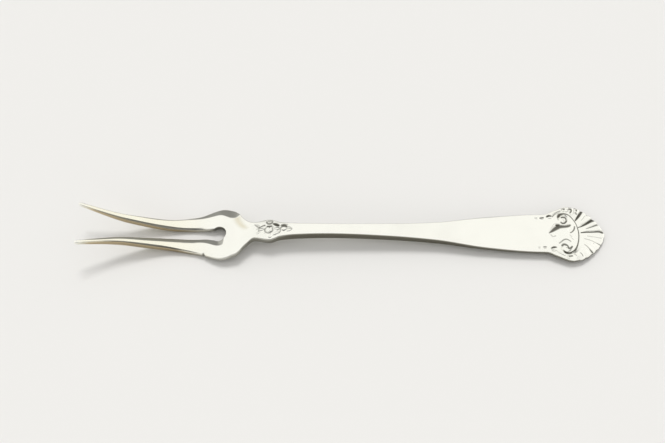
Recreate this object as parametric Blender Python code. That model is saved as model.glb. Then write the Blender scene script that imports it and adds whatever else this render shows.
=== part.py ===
"""A two-tined butter fork with a shell end, as separate solids, in metres, lying face up on Z = 0.

The tines point along -X and the shell along +X. Every piece follows one side line and one plan outline,
so pieces that meet share a flat cross face, and raised work sits a solder film above its seat.
"""
import math

import bmesh
import bpy
import numpy as np
from mathutils import Matrix, Vector

# Lengths of the pieces along the fork
TINE_LENGTH = 0.0330
HEAD_LENGTH = 0.0165
COLLAR_LENGTH = 0.0115
STEM_LENGTH = 0.0400
BLADE_LENGTH = 0.0280
TERMINAL_LENGTH = 0.0210

# Heights of the upper face above the table, tip to shell
TIP_HEIGHT = 0.0098
MID_TINE_HEIGHT = 0.0060
ROOT_HEIGHT = 0.00175
SHOULDER_HEIGHT = 0.0029
NECK_HEIGHT = 0.0048
STEM_HEIGHT = 0.0057
BLADE_HEIGHT = 0.0040
TERMINAL_HEIGHT = 0.0026
ARCH_HEIGHT = 0.0023
END_HEIGHT = 0.0010

# Thickness of the metal at the same places
TIP_THICKNESS = 0.0011
MID_TINE_THICKNESS = 0.0023
ROOT_THICKNESS = 0.0017
SHOULDER_THICKNESS = 0.0016
NECK_THICKNESS = 0.0024
STEM_THICKNESS = 0.0031
BLADE_THICKNESS = 0.0024
TERMINAL_THICKNESS = 0.0012
END_THICKNESS = 0.0009

# Widths in plan
TIP_SPREAD = 0.0131
TIP_WIDTH = 0.0009
MID_TINE_SPREAD = 0.0071
MID_TINE_WIDTH = 0.0019
TINE_WAIST_SPREAD = 0.0091
TINE_ROOT_SPREAD = 0.0116
SLOT_WIDTH = 0.0033
KEYHOLE_RADIUS = 0.0021
HEAD_WIDTH = 0.0160
SHOULDER_END_WIDTH = 0.0137
WAIST_WIDTH = 0.0078
NECK_WIDTH = 0.0051
COLLAR_WIDTH = 0.0066
COLLAR_FOOT_WIDTH = 0.0047
STEM_START_WIDTH = 0.0038
STEM_WIDTH = 0.0033
STEM_SWELL_WIDTH = 0.0041
BLADE_START_WIDTH = 0.0057
MID_BLADE_WIDTH = 0.0097
HANDLE_WIDTH = 0.0120
FLARE_START_WIDTH = 0.0122
FLARE_MIDDLE_WIDTH = 0.0145
FLARE_FULL_WIDTH = 0.0174
SHELL_WIDTH = 0.0182

# Places along the fork, measured from the joint that each belongs to
NOSE_LENGTH = 0.0006
FLARE_LENGTH = 0.0140
TINE_WAIST_FROM_ROOT = 0.0095
SLOT_START_FROM_ROOT = 0.0050
SHOULDER_FROM_ROOT = 0.0076
SHOULDER_END_FROM_NECK = 0.0052
WAIST_FROM_NECK = 0.0024
COLLAR_CREST_FROM_NECK = 0.0045
COLLAR_FOOT_FROM_STEM = 0.0040
STEM_NARROWEST_FROM_COLLAR = 0.0100
STEM_SWELL_LENGTH = 0.0130
KEYHOLE_FROM_ROOT = 0.0063
FLARE_START = 0.0038
FLARE_MIDDLE = 0.0066
FLARE_FULL = 0.0110
FOCUS_FROM_END = 0.0105

# Edge rounding, which never takes more than a share of the wall it is on
TINE_EDGE = 0.00048
HEAD_EDGE = 0.00045
HANDLE_EDGE = 0.00022
EDGE_SHARE = 0.48
NOSE_BLUNTNESS = 0.25

# Shell
SOLDER_FILM = 0.00005
RELIEF = 0.00045
RIB_COUNT = 11
RIB_PITCH = math.radians(13.5)
GROOVE_SHARE = 0.65
SCALLOP_DEPTH = 0.00022
SHELL_ROUNDNESS = 1.55

# Arch, its volutes, and the leaf between them
ARCH_HALF_WIDTH = 0.0060
ARCH_RISE = 0.00355
ARCH_FROM_END = 0.01150
BAND_WIDTH = 0.00075
BAND_END_WIDTH = 0.00042
VOLUTE_RADIUS = 0.00172
VOLUTE_INNER_RADIUS = 0.00085
VOLUTE_TURN = math.radians(320)
EYE_RADIUS = 0.00052
LEAF_LENGTH = 0.0070
LEAF_WIDTH = 0.0039
LEAF_HEIGHT = 0.00054
LEAF_GAP = 0.0008

# Beads along both edges: place from the joint of the terminal, inset from the edge, and radius
BEADS = ((0.0016, 0.00133, 0.00032), (0.0032, 0.00138, 0.00040), (0.0055, 0.00167, 0.00052))

# Flowers on the collar
FLORET_RADIUS = 0.00115
SIDE_FLORET_RADIUS = 0.00078
FLORET_GAP = 0.00012
FLORET_HEIGHT = 0.00040
PETAL_COUNT = 5
PETAL_SHARE = 0.18
BELL_LENGTH = 0.0050
BELL_WIDTH = 0.0015
SIDE_LEAF_LENGTH = 0.0023
SIDE_LEAF_WIDTH = 0.0009
SPRIG_LENGTH = 0.0024
SPRIG_WIDTH = 0.0010

# Sections of raised work, as shares of its reach or width and of its height
FAN_SECTION = ((0.0, 0.0), (0.3, 0.0), (0.65, 0.0), (1.0, 0.0), (1.0, 0.45), (0.93, 0.8), (0.6, 1.0),
               (0.2, 0.75), (0.0, 0.55))
BAND_SECTION = ((-0.5, 0.0), (-0.5, 0.5), (-0.28, 0.9), (0.0, 1.0), (0.28, 0.9), (0.5, 0.5), (0.5, 0.0))
BOSS_SECTION = ((1.0, 0.0), (1.0, 0.35), (0.86, 0.7), (0.55, 0.93), (0.2, 1.0))

# Mesh fineness
TINE_STEPS = 24
NOSE_STATIONS = (0.0, 0.15, 0.5)
BODY_STEPS = 16
CORNER_STEPS = 3
HOLE_SIDES = 32
RIB_STEPS = 6
SCROLL_STEPS = 26
BOSS_SIDES = 20
REST_SAMPLES = 600
REST_ROUNDS = 8
MERGE = 1e-7
FLAT_ANGLE = math.radians(0.1)
SMOOTH_ANGLE = math.radians(35)

# Finishes: colour and roughness
SILVER = ((0.92, 0.91, 0.85), 0.18)
WARM_SILVER = ((0.93, 0.88, 0.74), 0.20)
RELIEF_SILVER = ((0.84, 0.82, 0.74), 0.28)

OVERALL_LENGTH = TINE_LENGTH + HEAD_LENGTH + COLLAR_LENGTH + STEM_LENGTH + BLADE_LENGTH + TERMINAL_LENGTH
X_TIP = -OVERALL_LENGTH / 2
X_ROOT = X_TIP + TINE_LENGTH
X_NECK = X_ROOT + HEAD_LENGTH
X_STEM = X_NECK + COLLAR_LENGTH
X_BLADE = X_STEM + STEM_LENGTH
X_TERMINAL = X_BLADE + BLADE_LENGTH
X_END = X_TERMINAL + TERMINAL_LENGTH
X_FLARE = X_TIP + FLARE_LENGTH
X_TINE_WAIST = X_ROOT - TINE_WAIST_FROM_ROOT
X_SLOT = X_ROOT - SLOT_START_FROM_ROOT
X_SHOULDER = X_ROOT + SHOULDER_FROM_ROOT
X_KEYHOLE = X_ROOT + KEYHOLE_FROM_ROOT
X_COLLAR = X_NECK + COLLAR_CREST_FROM_NECK
X_FOCUS = X_END - FOCUS_FROM_END
X_ARCH = X_END - ARCH_FROM_END
EYE_Y = ARCH_HALF_WIDTH - VOLUTE_RADIUS
FAN_HALF_ANGLE = RIB_COUNT * RIB_PITCH / 2


def bent_line(points):
    """A curve y(x) through a few (x, y) points that bends as evenly as a sprung strip."""
    xs, ys = np.array(points).T
    steps = np.diff(xs)
    count = len(xs)
    matrix = np.eye(count)
    bends = np.zeros(count)
    for i in range(1, count - 1):
        matrix[i, i - 1:i + 2] = steps[i - 1], 2 * (steps[i - 1] + steps[i]), steps[i]
        bends[i] = 6 * ((ys[i + 1] - ys[i]) / steps[i] - (ys[i] - ys[i - 1]) / steps[i - 1])
    seconds = np.linalg.solve(matrix, bends)

    def value(x):
        i = int(np.clip(np.searchsorted(xs, x) - 1, 0, count - 2))
        a, b, h = xs[i + 1] - x, x - xs[i], steps[i]
        cubic = (seconds[i] * a ** 3 + seconds[i + 1] * b ** 3) / (6 * h)
        straight = (ys[i] / h - seconds[i] * h / 6) * a + (ys[i + 1] / h - seconds[i + 1] * h / 6) * b
        return float(cubic + straight)

    return value


def fair_line(points):
    """A curve y(x) through a few (x, y) points that turns only at those points."""
    xs, ys = np.array(points).T
    steps = np.diff(xs)
    rises = np.diff(ys) / steps
    slopes = np.array([rises[0], *(0.0 for _ in rises[1:]), rises[-1]])
    for i in range(1, len(rises)):
        if rises[i - 1] * rises[i] > 0:
            near, far = 2 * steps[i] + steps[i - 1], steps[i] + 2 * steps[i - 1]
            slopes[i] = (near + far) / (near / rises[i - 1] + far / rises[i])

    def value(x):
        i = int(np.clip(np.searchsorted(xs, x) - 1, 0, len(steps) - 1))
        share, h = (x - xs[i]) / steps[i], steps[i]
        back = 1 - share
        ends = ys[i] * back ** 2 * (1 + 2 * share) + ys[i + 1] * share ** 2 * (1 + 2 * back)
        return float(ends + h * share * back * (slopes[i] * back - slopes[i + 1] * share))

    return value


def lobe(angle):
    """1 along the middle of a rib, 0 in the groove between two ribs."""
    return abs(math.cos(math.pi * angle / RIB_PITCH))


def rim_radius(angle):
    """Distance from the focus of the shell to its scalloped edge."""
    along = abs(math.cos(angle)) / FOCUS_FROM_END
    across = abs(math.sin(angle)) / (SHELL_WIDTH / 2)
    smooth = (along ** SHELL_ROUNDNESS + across ** SHELL_ROUNDNESS) ** (-1 / SHELL_ROUNDNESS)
    return smooth - SCALLOP_DEPTH * (1 - math.sqrt(lobe(angle)))


def rim_point(angle):
    radius = rim_radius(angle)
    return X_FOCUS + radius * math.cos(angle), radius * math.sin(angle)


FAN_CORNER = rim_point(FAN_HALF_ANGLE)

side_height = bent_line((
    (X_TIP, TIP_HEIGHT), (X_FLARE, MID_TINE_HEIGHT), (X_ROOT, ROOT_HEIGHT), (X_SHOULDER, SHOULDER_HEIGHT),
    (X_NECK, NECK_HEIGHT), (X_STEM, STEM_HEIGHT), (X_BLADE, BLADE_HEIGHT), (X_TERMINAL, TERMINAL_HEIGHT),
    (X_ARCH, ARCH_HEIGHT), (X_END, END_HEIGHT)))
side_thickness = fair_line((
    (X_TIP, TIP_THICKNESS), (X_FLARE, MID_TINE_THICKNESS), (X_ROOT, ROOT_THICKNESS),
    (X_SHOULDER, SHOULDER_THICKNESS), (X_NECK, NECK_THICKNESS), (X_STEM, STEM_THICKNESS),
    (X_BLADE, BLADE_THICKNESS), (X_TERMINAL, TERMINAL_THICKNESS), (X_END, END_THICKNESS)))
outer_edge = fair_line((
    (X_TIP, TIP_SPREAD / 2), (X_FLARE, (MID_TINE_SPREAD + MID_TINE_WIDTH) / 2),
    (X_TINE_WAIST, TINE_WAIST_SPREAD / 2), (X_ROOT, TINE_ROOT_SPREAD / 2), (X_SHOULDER, HEAD_WIDTH / 2),
    (X_NECK - SHOULDER_END_FROM_NECK, SHOULDER_END_WIDTH / 2), (X_NECK - WAIST_FROM_NECK, WAIST_WIDTH / 2),
    (X_NECK, NECK_WIDTH / 2), (X_COLLAR, COLLAR_WIDTH / 2),
    (X_STEM - COLLAR_FOOT_FROM_STEM, COLLAR_FOOT_WIDTH / 2), (X_STEM, STEM_START_WIDTH / 2),
    (X_STEM + STEM_NARROWEST_FROM_COLLAR, STEM_WIDTH / 2),
    (X_BLADE - STEM_SWELL_LENGTH, STEM_SWELL_WIDTH / 2), (X_BLADE, BLADE_START_WIDTH / 2),
    (X_BLADE + BLADE_LENGTH / 2, MID_BLADE_WIDTH / 2),
    (X_TERMINAL, HANDLE_WIDTH / 2), (X_TERMINAL + FLARE_START, FLARE_START_WIDTH / 2),
    (X_TERMINAL + FLARE_MIDDLE, FLARE_MIDDLE_WIDTH / 2), (X_TERMINAL + FLARE_FULL, FLARE_FULL_WIDTH / 2),
    FAN_CORNER))
inner_edge = fair_line((
    (X_TIP, TIP_SPREAD / 2 - TIP_WIDTH), (X_FLARE, (MID_TINE_SPREAD - MID_TINE_WIDTH) / 2),
    (X_SLOT, SLOT_WIDTH / 2), (X_ROOT, SLOT_WIDTH / 2)))


def rest_line():
    """Tilt and lift that lay the belly of the head and the shell end on the table."""
    xs = np.linspace(X_TIP, X_END, REST_SAMPLES)
    back = np.array([side_height(x) - side_thickness(x) for x in xs])
    slope, lift = 0.0, 0.0
    for _ in range(REST_ROUNDS):
        line = back + slope * xs + lift
        head = int(np.argmin(np.where(xs < X_STEM, line, 1)))
        end = int(np.argmin(np.where(xs > X_STEM, line, 1)))
        slope = (back[head] - back[end]) / (xs[end] - xs[head])
        lift = -back[head] - slope * xs[head]
    return slope, lift


REST_SLOPE, REST_LIFT = rest_line()


def top(x):
    """Height of the upper face above the table."""
    return side_height(x) + REST_SLOPE * x + REST_LIFT


def under(x):
    """Height of the back; straight along the blade, so that its back is flat."""
    def back(x):
        return top(x) - side_thickness(x)
    if X_BLADE < x < X_TERMINAL:
        share = (x - X_BLADE) / BLADE_LENGTH
        return back(X_BLADE) * (1 - share) + back(X_TERMINAL) * share
    return back(x)


def silver_for(name, finish):
    colour, roughness = finish
    material = bpy.data.materials.new(name + "_silver")
    material.use_nodes = True
    shader = material.node_tree.nodes["Principled BSDF"]
    shader.inputs["Base Color"].default_value = (*colour, 1)
    shader.inputs["Metallic"].default_value = 1.0
    shader.inputs["Roughness"].default_value = roughness
    material.diffuse_color = (*colour, 1)
    return material


def place(name, mesh, origin, fork, finish=SILVER):
    """Give a mesh drawn in the fork's frame its own origin, and hang it on the fork's empty."""
    mesh.transform(Matrix.Translation(-Vector(origin)))
    piece = bpy.data.objects.new(name, mesh)
    piece.location = origin
    piece.parent = fork
    fork.users_collection[0].objects.link(piece)
    mesh.materials.append(silver_for(name, finish))
    mesh.shade_smooth()
    mesh.set_sharp_from_angle(angle=SMOOTH_ANGLE)
    return piece


def loft(rings):
    """Bridge rings of equal point counts into one closed skin."""
    bm = bmesh.new()
    loops = [[bm.verts.new(point) for point in ring] for ring in rings]
    for near, far in zip(loops, loops[1:]):
        for i in range(len(near)):
            j = (i + 1) % len(near)
            bm.faces.new((near[i], near[j], far[j], far[i]))
    bm.faces.new(loops[0])
    bm.faces.new(loops[-1])
    bmesh.ops.recalc_face_normals(bm, faces=bm.faces)
    mesh = bpy.data.meshes.new("loft")
    bm.to_mesh(mesh)
    bm.free()
    return mesh


def bar_ring(x, y_low, y_high, edge):
    """Rounded rectangle across the fork at x, from the back to the upper face."""
    z_low, z_high = under(x), top(x)
    radius = min(edge, EDGE_SHARE * (y_high - y_low), EDGE_SHARE * (z_high - z_low))
    corners = ((y_high - radius, z_high - radius, 0), (y_low + radius, z_high - radius, 90),
               (y_low + radius, z_low + radius, 180), (y_high - radius, z_low + radius, 270))
    ring = []
    for y, z, start in corners:
        for step in range(CORNER_STEPS + 1):
            angle = math.radians(start + 90 * step / CORNER_STEPS)
            ring.append((x, y + radius * math.cos(angle), z + radius * math.sin(angle)))
    return ring


def body(name, x_from, x_to, edge, fork):
    """A stretch of the fork that is symmetric about its axis, with its origin on its first joint."""
    xs = np.linspace(x_from, x_to, BODY_STEPS + 1)
    mesh = loft([bar_ring(float(x), -outer_edge(x), outer_edge(x), edge) for x in xs])
    return place(name, mesh, (x_from, 0, under(x_from)), fork)


def tine(name, side, fork):
    """One prong, from its rounded nose back to the root of the slot."""
    nose = [X_TIP + NOSE_LENGTH * share for share in NOSE_STATIONS]
    shaft = np.linspace(X_TIP + NOSE_LENGTH, X_ROOT, TINE_STEPS + 1)
    rings = []
    for x in [*nose, *(float(x) for x in shaft)]:
        low, high = inner_edge(x), outer_edge(x)
        inside = max(0.0, 1 - (x - X_TIP) / NOSE_LENGTH)
        taper = max(NOSE_BLUNTNESS, math.sqrt(1 - inside ** 2))
        y_mid, z_mid = (low + high) / 2, (top(x) + under(x)) / 2
        rings.append([(px, side * (y_mid + (py - y_mid) * taper), z_mid + (pz - z_mid) * taper)
                      for px, py, pz in bar_ring(x, low, high, TINE_EDGE)])
    root_y = side * (inner_edge(X_ROOT) + outer_edge(X_ROOT)) / 2
    return place(name, loft(rings), (X_ROOT, root_y, under(X_ROOT)), fork, WARM_SILVER)


def cut(piece, name, bm, location, cutters):
    """Take a shape, placed on the fork's axis, out of a piece."""
    mesh = bpy.data.meshes.new(name)
    bm.to_mesh(mesh)
    bm.free()
    cutter = bpy.data.objects.new(name, mesh)
    cutter.location = location
    cutter.hide_render = True
    cutter.display_type = "WIRE"
    cutters.objects.link(cutter)
    boolean = piece.modifiers.new(name, "BOOLEAN")
    boolean.operation = "DIFFERENCE"
    boolean.object = cutter


def fork_head(fork, cutters):
    """The shouldered plate, pierced by the keyhole and the root of the slot."""
    head = body("fork_head", X_ROOT, X_NECK, HEAD_EDGE, fork)
    depth = 2 * HEAD_LENGTH
    hole = bmesh.new()
    bmesh.ops.create_cone(hole, cap_ends=True, segments=HOLE_SIDES, radius1=KEYHOLE_RADIUS,
                          radius2=KEYHOLE_RADIUS, depth=depth)
    cut(head, "keyhole_cutter", hole, (X_KEYHOLE, 0, 0), cutters)
    slot = bmesh.new()
    slot_length = KEYHOLE_FROM_ROOT + TINE_LENGTH
    bmesh.ops.create_cube(slot, size=1.0)
    bmesh.ops.scale(slot, verts=slot.verts, vec=(slot_length, SLOT_WIDTH, depth))
    cut(head, "slot_cutter", slot, (X_KEYHOLE - slot_length / 2, 0, 0), cutters)


def terminal_outline():
    """The flared end in plan: its two hollow sides, and the scalloped rim between them."""
    side = [(float(x), outer_edge(x)) for x in np.linspace(X_TERMINAL, FAN_CORNER[0], BODY_STEPS)[:-1]]
    rim_steps = RIB_COUNT * RIB_STEPS
    rim = [rim_point(FAN_HALF_ANGLE * (1 - 2 * step / rim_steps)) for step in range(rim_steps + 1)]
    return side + rim + [(x, -y) for x, y in reversed(side)]


def terminal_plate(fork):
    """The flared end: a flat outline, cut across at even steps and laid on the side line."""
    curve = bpy.data.curves.new("terminal_outline", "CURVE")
    curve.dimensions = "2D"
    curve.fill_mode = "BOTH"
    curve.extrude = END_THICKNESS / 2
    outline = terminal_outline()
    spline = curve.splines.new("POLY")
    spline.points.add(len(outline) - 1)
    spline.use_cyclic_u = True
    for point, (x, y) in zip(spline.points, outline):
        point.co = (x, y, 0, 1)
    guide = bpy.data.objects.new("terminal_outline", curve)
    fork.users_collection[0].objects.link(guide)
    mesh = bpy.data.meshes.new_from_object(guide.evaluated_get(bpy.context.evaluated_depsgraph_get()))
    bpy.data.objects.remove(guide)

    bm = bmesh.new()
    bm.from_mesh(mesh)
    bmesh.ops.remove_doubles(bm, verts=bm.verts, dist=MERGE)
    bmesh.ops.dissolve_limit(bm, angle_limit=FLAT_ANGLE, verts=bm.verts, edges=bm.edges)
    for x in np.linspace(X_TERMINAL, X_END, BODY_STEPS)[1:-1]:
        everything = [*bm.verts, *bm.edges, *bm.faces]
        bmesh.ops.bisect_plane(bm, geom=everything, dist=MERGE, plane_co=(float(x), 0, 0), plane_no=(1, 0, 0))
    for vert in bm.verts:
        vert.co.z = top(vert.co.x) if vert.co.z > 0 else under(vert.co.x)
    bmesh.ops.recalc_face_normals(bm, faces=bm.faces)
    bm.to_mesh(mesh)
    bm.free()
    return place("terminal_plate", mesh, (X_TERMINAL, 0, under(X_TERMINAL)), fork)


def seat(x, y, height=0.0):
    """A point of raised work, over its place on the upper face."""
    return x, y, top(x) + SOLDER_FILM + height


def arch_point(angle):
    """A point on the oval of the arch, from its crown at 0 to its side at a right angle."""
    return X_ARCH + ARCH_RISE * math.cos(angle), ARCH_HALF_WIDTH * math.sin(angle)


def fan_foot(angle):
    """Distance from the focus, along a ray, to just outside the band of the arch."""
    clear = BAND_WIDTH / 2 + 2 * SOLDER_FILM
    a, b = ARCH_RISE + clear, ARCH_HALF_WIDTH + clear
    dx, dy, start = math.cos(angle), math.sin(angle), X_FOCUS - X_ARCH
    square, linear, constant = (dx / a) ** 2 + (dy / b) ** 2, start * dx / a ** 2, (start / a) ** 2 - 1
    return (math.sqrt(linear ** 2 - square * constant) - linear) / square


def shell_fan(fork):
    """The ribbed shell, from the arch out to just inside the scalloped edge."""
    steps = RIB_COUNT * RIB_STEPS
    rings = []
    for step in range(steps + 1):
        angle = FAN_HALF_ANGLE * (1 - 2 * step / steps)
        foot, rim = fan_foot(angle), rim_radius(angle) - SOLDER_FILM
        ridge = RELIEF * (1 - GROOVE_SHARE * (1 - lobe(angle)))
        ring = []
        for reach, rise in FAN_SECTION:
            radius = foot + (rim - foot) * reach
            ring.append(seat(X_FOCUS + radius * math.cos(angle), radius * math.sin(angle), ridge * rise))
        rings.append(ring)
    return place("shell_fan", loft(rings), seat(X_FOCUS, 0), fork, RELIEF_SILVER)


def arch_half():
    """The middle line of one half of the arch, from its crown to the inner end of its volute."""
    line = [arch_point(math.pi / 2 * step / SCROLL_STEPS) for step in range(SCROLL_STEPS)]
    for step in range(SCROLL_STEPS + 1):
        share = step / SCROLL_STEPS
        angle = math.pi / 2 + VOLUTE_TURN * share
        radius = VOLUTE_RADIUS + (VOLUTE_INNER_RADIUS - VOLUTE_RADIUS) * share
        line.append((X_ARCH + radius * math.cos(angle), EYE_Y + radius * math.sin(angle)))
    return line


def scroll_arch(fork):
    """The band round the foot of the shell; each end curls in as a volute."""
    half = arch_half()
    path = [(x, -y) for x, y in reversed(half[1:])] + half
    crown = len(half) - 1
    rings = []
    for i, (x, y) in enumerate(path):
        x0, y0 = path[max(i - 1, 0)]
        x1, y1 = path[min(i + 1, len(path) - 1)]
        length = math.hypot(x1 - x0, y1 - y0)
        across_x, across_y = -(y1 - y0) / length, (x1 - x0) / length
        curled = max(0.0, 2 * abs(i - crown) / crown - 1)
        width = BAND_WIDTH + (BAND_END_WIDTH - BAND_WIDTH) * curled
        rings.append([seat(x + across_x * width * across, y + across_y * width * across, RELIEF * rise)
                      for across, rise in BAND_SECTION])
    return place("scroll_arch", loft(rings), seat(X_ARCH, 0), fork, RELIEF_SILVER)


def boss(name, centre, outline, height, fork):
    """A raised motif: an outline in plan, drawn in and up to a soft crown."""
    cx, cy = centre
    rings = []
    for shrink, rise in BOSS_SECTION:
        ring = []
        for side in range(BOSS_SIDES):
            x, y = outline(2 * math.pi * side / BOSS_SIDES)
            ring.append(seat(cx + x * shrink, cy + y * shrink, height * rise))
        rings.append(ring)
    return place(name, loft(rings), seat(cx, cy), fork, RELIEF_SILVER)


def round_outline(radius):
    return lambda angle: (radius * math.cos(angle), radius * math.sin(angle))


def petal_outline(radius):
    """A ring of round petals."""
    def point(angle):
        reach = radius * (1 - PETAL_SHARE * (1 - abs(math.cos(PETAL_COUNT * angle / 2))))
        return reach * math.cos(angle), reach * math.sin(angle)
    return point


def leaf_outline(length, width, turn=0.0):
    """A leaf, round at its foot and pointed at its far end, turned in plan."""
    fullest = math.sin(math.pi / 3) * math.cos(math.pi / 6) ** 2

    def point(angle):
        along = length / 2 * math.cos(angle)
        across = width / 2 * math.sin(angle) * math.cos(angle / 2) ** 2 / fullest
        return (along * math.cos(turn) - across * math.sin(turn),
                along * math.sin(turn) + across * math.cos(turn))
    return point


def terminal_ornament(fork):
    shell_fan(fork)
    scroll_arch(fork)
    leaf_x = X_ARCH + ARCH_RISE - BAND_WIDTH / 2 - LEAF_GAP - LEAF_LENGTH / 2
    boss("leaf_drop", (leaf_x, 0), leaf_outline(LEAF_LENGTH, LEAF_WIDTH), LEAF_HEIGHT, fork)
    for side, word in ((-1, "left"), (1, "right")):
        boss("volute_eye_" + word, (X_ARCH, side * EYE_Y), round_outline(EYE_RADIUS), RELIEF, fork)
        for number, (along, inset, radius) in enumerate(BEADS, start=1):
            centre = (X_TERMINAL + along, side * (outer_edge(X_TERMINAL + along) - inset))
            boss(f"bead_{word}_{number}", centre, round_outline(radius), radius, fork)


def collar_ornament(fork):
    boss("floret_centre", (X_COLLAR, 0), petal_outline(FLORET_RADIUS), FLORET_HEIGHT, fork)
    bell_x = X_COLLAR + FLORET_RADIUS + FLORET_GAP + BELL_LENGTH / 2
    boss("bell_drop", (bell_x, 0), leaf_outline(BELL_LENGTH, BELL_WIDTH, math.pi), FLORET_HEIGHT, fork)
    sprig_x = X_COLLAR - FLORET_RADIUS - FLORET_GAP - SPRIG_LENGTH / 2
    boss("sprig", (sprig_x, 0), leaf_outline(SPRIG_LENGTH, SPRIG_WIDTH), FLORET_HEIGHT, fork)
    floret_y = FLORET_RADIUS + SIDE_FLORET_RADIUS + FLORET_GAP
    leaf_x = X_COLLAR + SIDE_FLORET_RADIUS + FLORET_GAP + SIDE_LEAF_LENGTH / 2
    leaf_y = BELL_WIDTH / 2 + FLORET_GAP + SIDE_LEAF_WIDTH / 2
    for side, word in ((-1, "left"), (1, "right")):
        floret = petal_outline(SIDE_FLORET_RADIUS)
        boss("floret_" + word, (X_COLLAR, side * floret_y), floret, FLORET_HEIGHT, fork)
        leaf = leaf_outline(SIDE_LEAF_LENGTH, SIDE_LEAF_WIDTH, math.pi)
        boss("leaf_" + word, (leaf_x, side * leaf_y), leaf, FLORET_HEIGHT, fork)


def main():
    for thing in list(bpy.data.objects):
        bpy.data.objects.remove(thing, do_unlink=True)
    parts = bpy.data.collections.new("butter_fork")
    cutters = bpy.data.collections.new("cutters")
    for collection in (parts, cutters):
        bpy.context.scene.collection.children.link(collection)
    fork = bpy.data.objects.new("butter_fork", None)
    parts.objects.link(fork)
    tine("left_tine", -1, fork)
    tine("right_tine", 1, fork)
    fork_head(fork, cutters)
    body("neck_collar", X_NECK, X_STEM, HEAD_EDGE, fork)
    body("stem", X_STEM, X_BLADE, HANDLE_EDGE, fork)
    body("handle_blade", X_BLADE, X_TERMINAL, HANDLE_EDGE, fork)
    terminal_plate(fork)
    terminal_ornament(fork)
    collar_ornament(fork)


main()
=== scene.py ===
"""The looks of a silver butter fork: fine surfaces over its solids, silver finishes, light and camera."""
import math

import bmesh
import bpy
import numpy as np
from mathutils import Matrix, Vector
from mathutils.kdtree import KDTree


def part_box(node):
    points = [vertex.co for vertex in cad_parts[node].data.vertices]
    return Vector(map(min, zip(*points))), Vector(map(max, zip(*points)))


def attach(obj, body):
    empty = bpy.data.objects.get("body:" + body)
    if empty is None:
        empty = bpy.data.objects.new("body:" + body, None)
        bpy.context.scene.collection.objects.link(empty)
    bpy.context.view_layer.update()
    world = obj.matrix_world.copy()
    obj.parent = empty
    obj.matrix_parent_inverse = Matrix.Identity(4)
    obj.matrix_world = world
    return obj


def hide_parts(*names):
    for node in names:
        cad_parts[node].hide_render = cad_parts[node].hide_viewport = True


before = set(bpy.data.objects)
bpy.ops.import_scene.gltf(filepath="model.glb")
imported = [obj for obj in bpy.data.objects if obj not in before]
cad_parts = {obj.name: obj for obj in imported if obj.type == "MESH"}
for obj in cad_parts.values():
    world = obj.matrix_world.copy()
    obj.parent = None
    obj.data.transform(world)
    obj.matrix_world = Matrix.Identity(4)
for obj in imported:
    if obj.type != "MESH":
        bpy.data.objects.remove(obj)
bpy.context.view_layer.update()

MM = 0.001

# Camera, at the photograph's viewing angle
VIEW_TARGET = Vector((-3.15, 5.18, 0.0)) * MM
VIEW_DISTANCE = 310.4 * MM
VIEW_ELEVATION = math.radians(62)
VIEW_YAW = math.radians(-0.14)
VIEW_LENS = 57.87
VIEW_SENSOR = 36.0
CLIP_START = 0.01

# Light; each sky range gives the two ends of a direction and the strength of the sky at them
FLOOR_SIZE = 3.0
FLOOR_COLOUR = (0.73, 0.72, 0.70, 1)
FLOOR_ROUGHNESS = 0.9
SKY_COLOUR = (1.0, 1.0, 0.99, 1)
SKY_SIDES = (0.25, 0.70, 0.0, 0.78)
SKY_DEPTH = (-0.5, 0.6, 0.05, 0.40)
SKY_FRONT = (-0.70, -0.86, 0.0, 0.80)
# The bright part of the sky leans away from the camera
SKY_LEAN = (0.0, 0.342, 0.940)
SKY_TOP = (0.665, 0.875, 0.0, 1.0)
SUN_STRENGTH = 1.45
SUN_ANGLE = math.radians(18)
SUN_WAY = Vector((0.05, -0.52, -0.85))

# Silver: its colours, plain and yellowed, then painted shade for the handle's walls and a golden painted
# reflection for the tines' walls, then the scratches, the faint clouds and the dull recesses
POLISHED = ((0.962, 0.955, 0.880, 1), (0.962, 0.935, 0.785, 1))
PAINTED_SHADE_AND_REFLECTION_COLOURS = ((0.18, 0.17, 0.13, 1), (0.50, 0.395, 0.235, 1))
SCRATCH_GRAIN = (90, 2600, 2600)
SCRATCH_STRENGTH = 0.15
SCRATCH_DEPTH = 0.01 * MM
SCRATCH_RANGE = (0.3, 0.7)
SCRATCH_GLOSS = (-0.04, 0.05)
HAZE_SCALE = 110.0
HAZE_RANGE = (0.45, 0.78)
HAZE_MOST = 0.06
OXIDE_DULLING = 0.28

# Places along the fork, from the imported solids
X_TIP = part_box("left_tine")[0].x
X_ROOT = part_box("fork_head")[0].x
X_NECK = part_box("neck_collar")[0].x
X_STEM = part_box("stem")[0].x
X_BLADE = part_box("handle_blade")[0].x
X_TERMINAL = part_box("terminal_plate")[0].x
X_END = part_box("terminal_plate")[1].x
NOSE = 0.6 * MM
KEYHOLE_RADIUS = 2.1 * MM
X_KEYHOLE = X_ROOT + 6.3 * MM

# Reading the solids
RING_POINTS = 12
PLATE_POINTS = 2
PLATE_WALL = 0.5 * MM
PLATE_STATIONS = 13
FLARE_STATIONS = 16

# Mesh fineness
STEP = 0.25 * MM
FINE_STEP = 0.12 * MM
NOSE_STEPS = 8
CORNER_STEPS = 6
FACE_STEPS = 26
HEAD_STEPS = 46
WIDE_STEPS = 60
KEYHOLE_STEPS = 44
TIP_ROUNDING_SHARE = 0.45
WELD = 1e-6
CREASE = math.radians(50)

# Shell
RIB_COUNT = 11
RIB_PITCH = math.radians(13.5)
FOCUS_FROM_END = 10.5 * MM
SHELL_WIDTH = 18.2 * MM
SHELL_ROUNDNESS = 1.55
SCALLOP_DEPTH = 0.22 * MM
RELIEF_RIBS = 13
RIB_HEIGHT = 0.40 * MM
RIB_STEPS = 16
RIB_RINGS = 54
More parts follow.
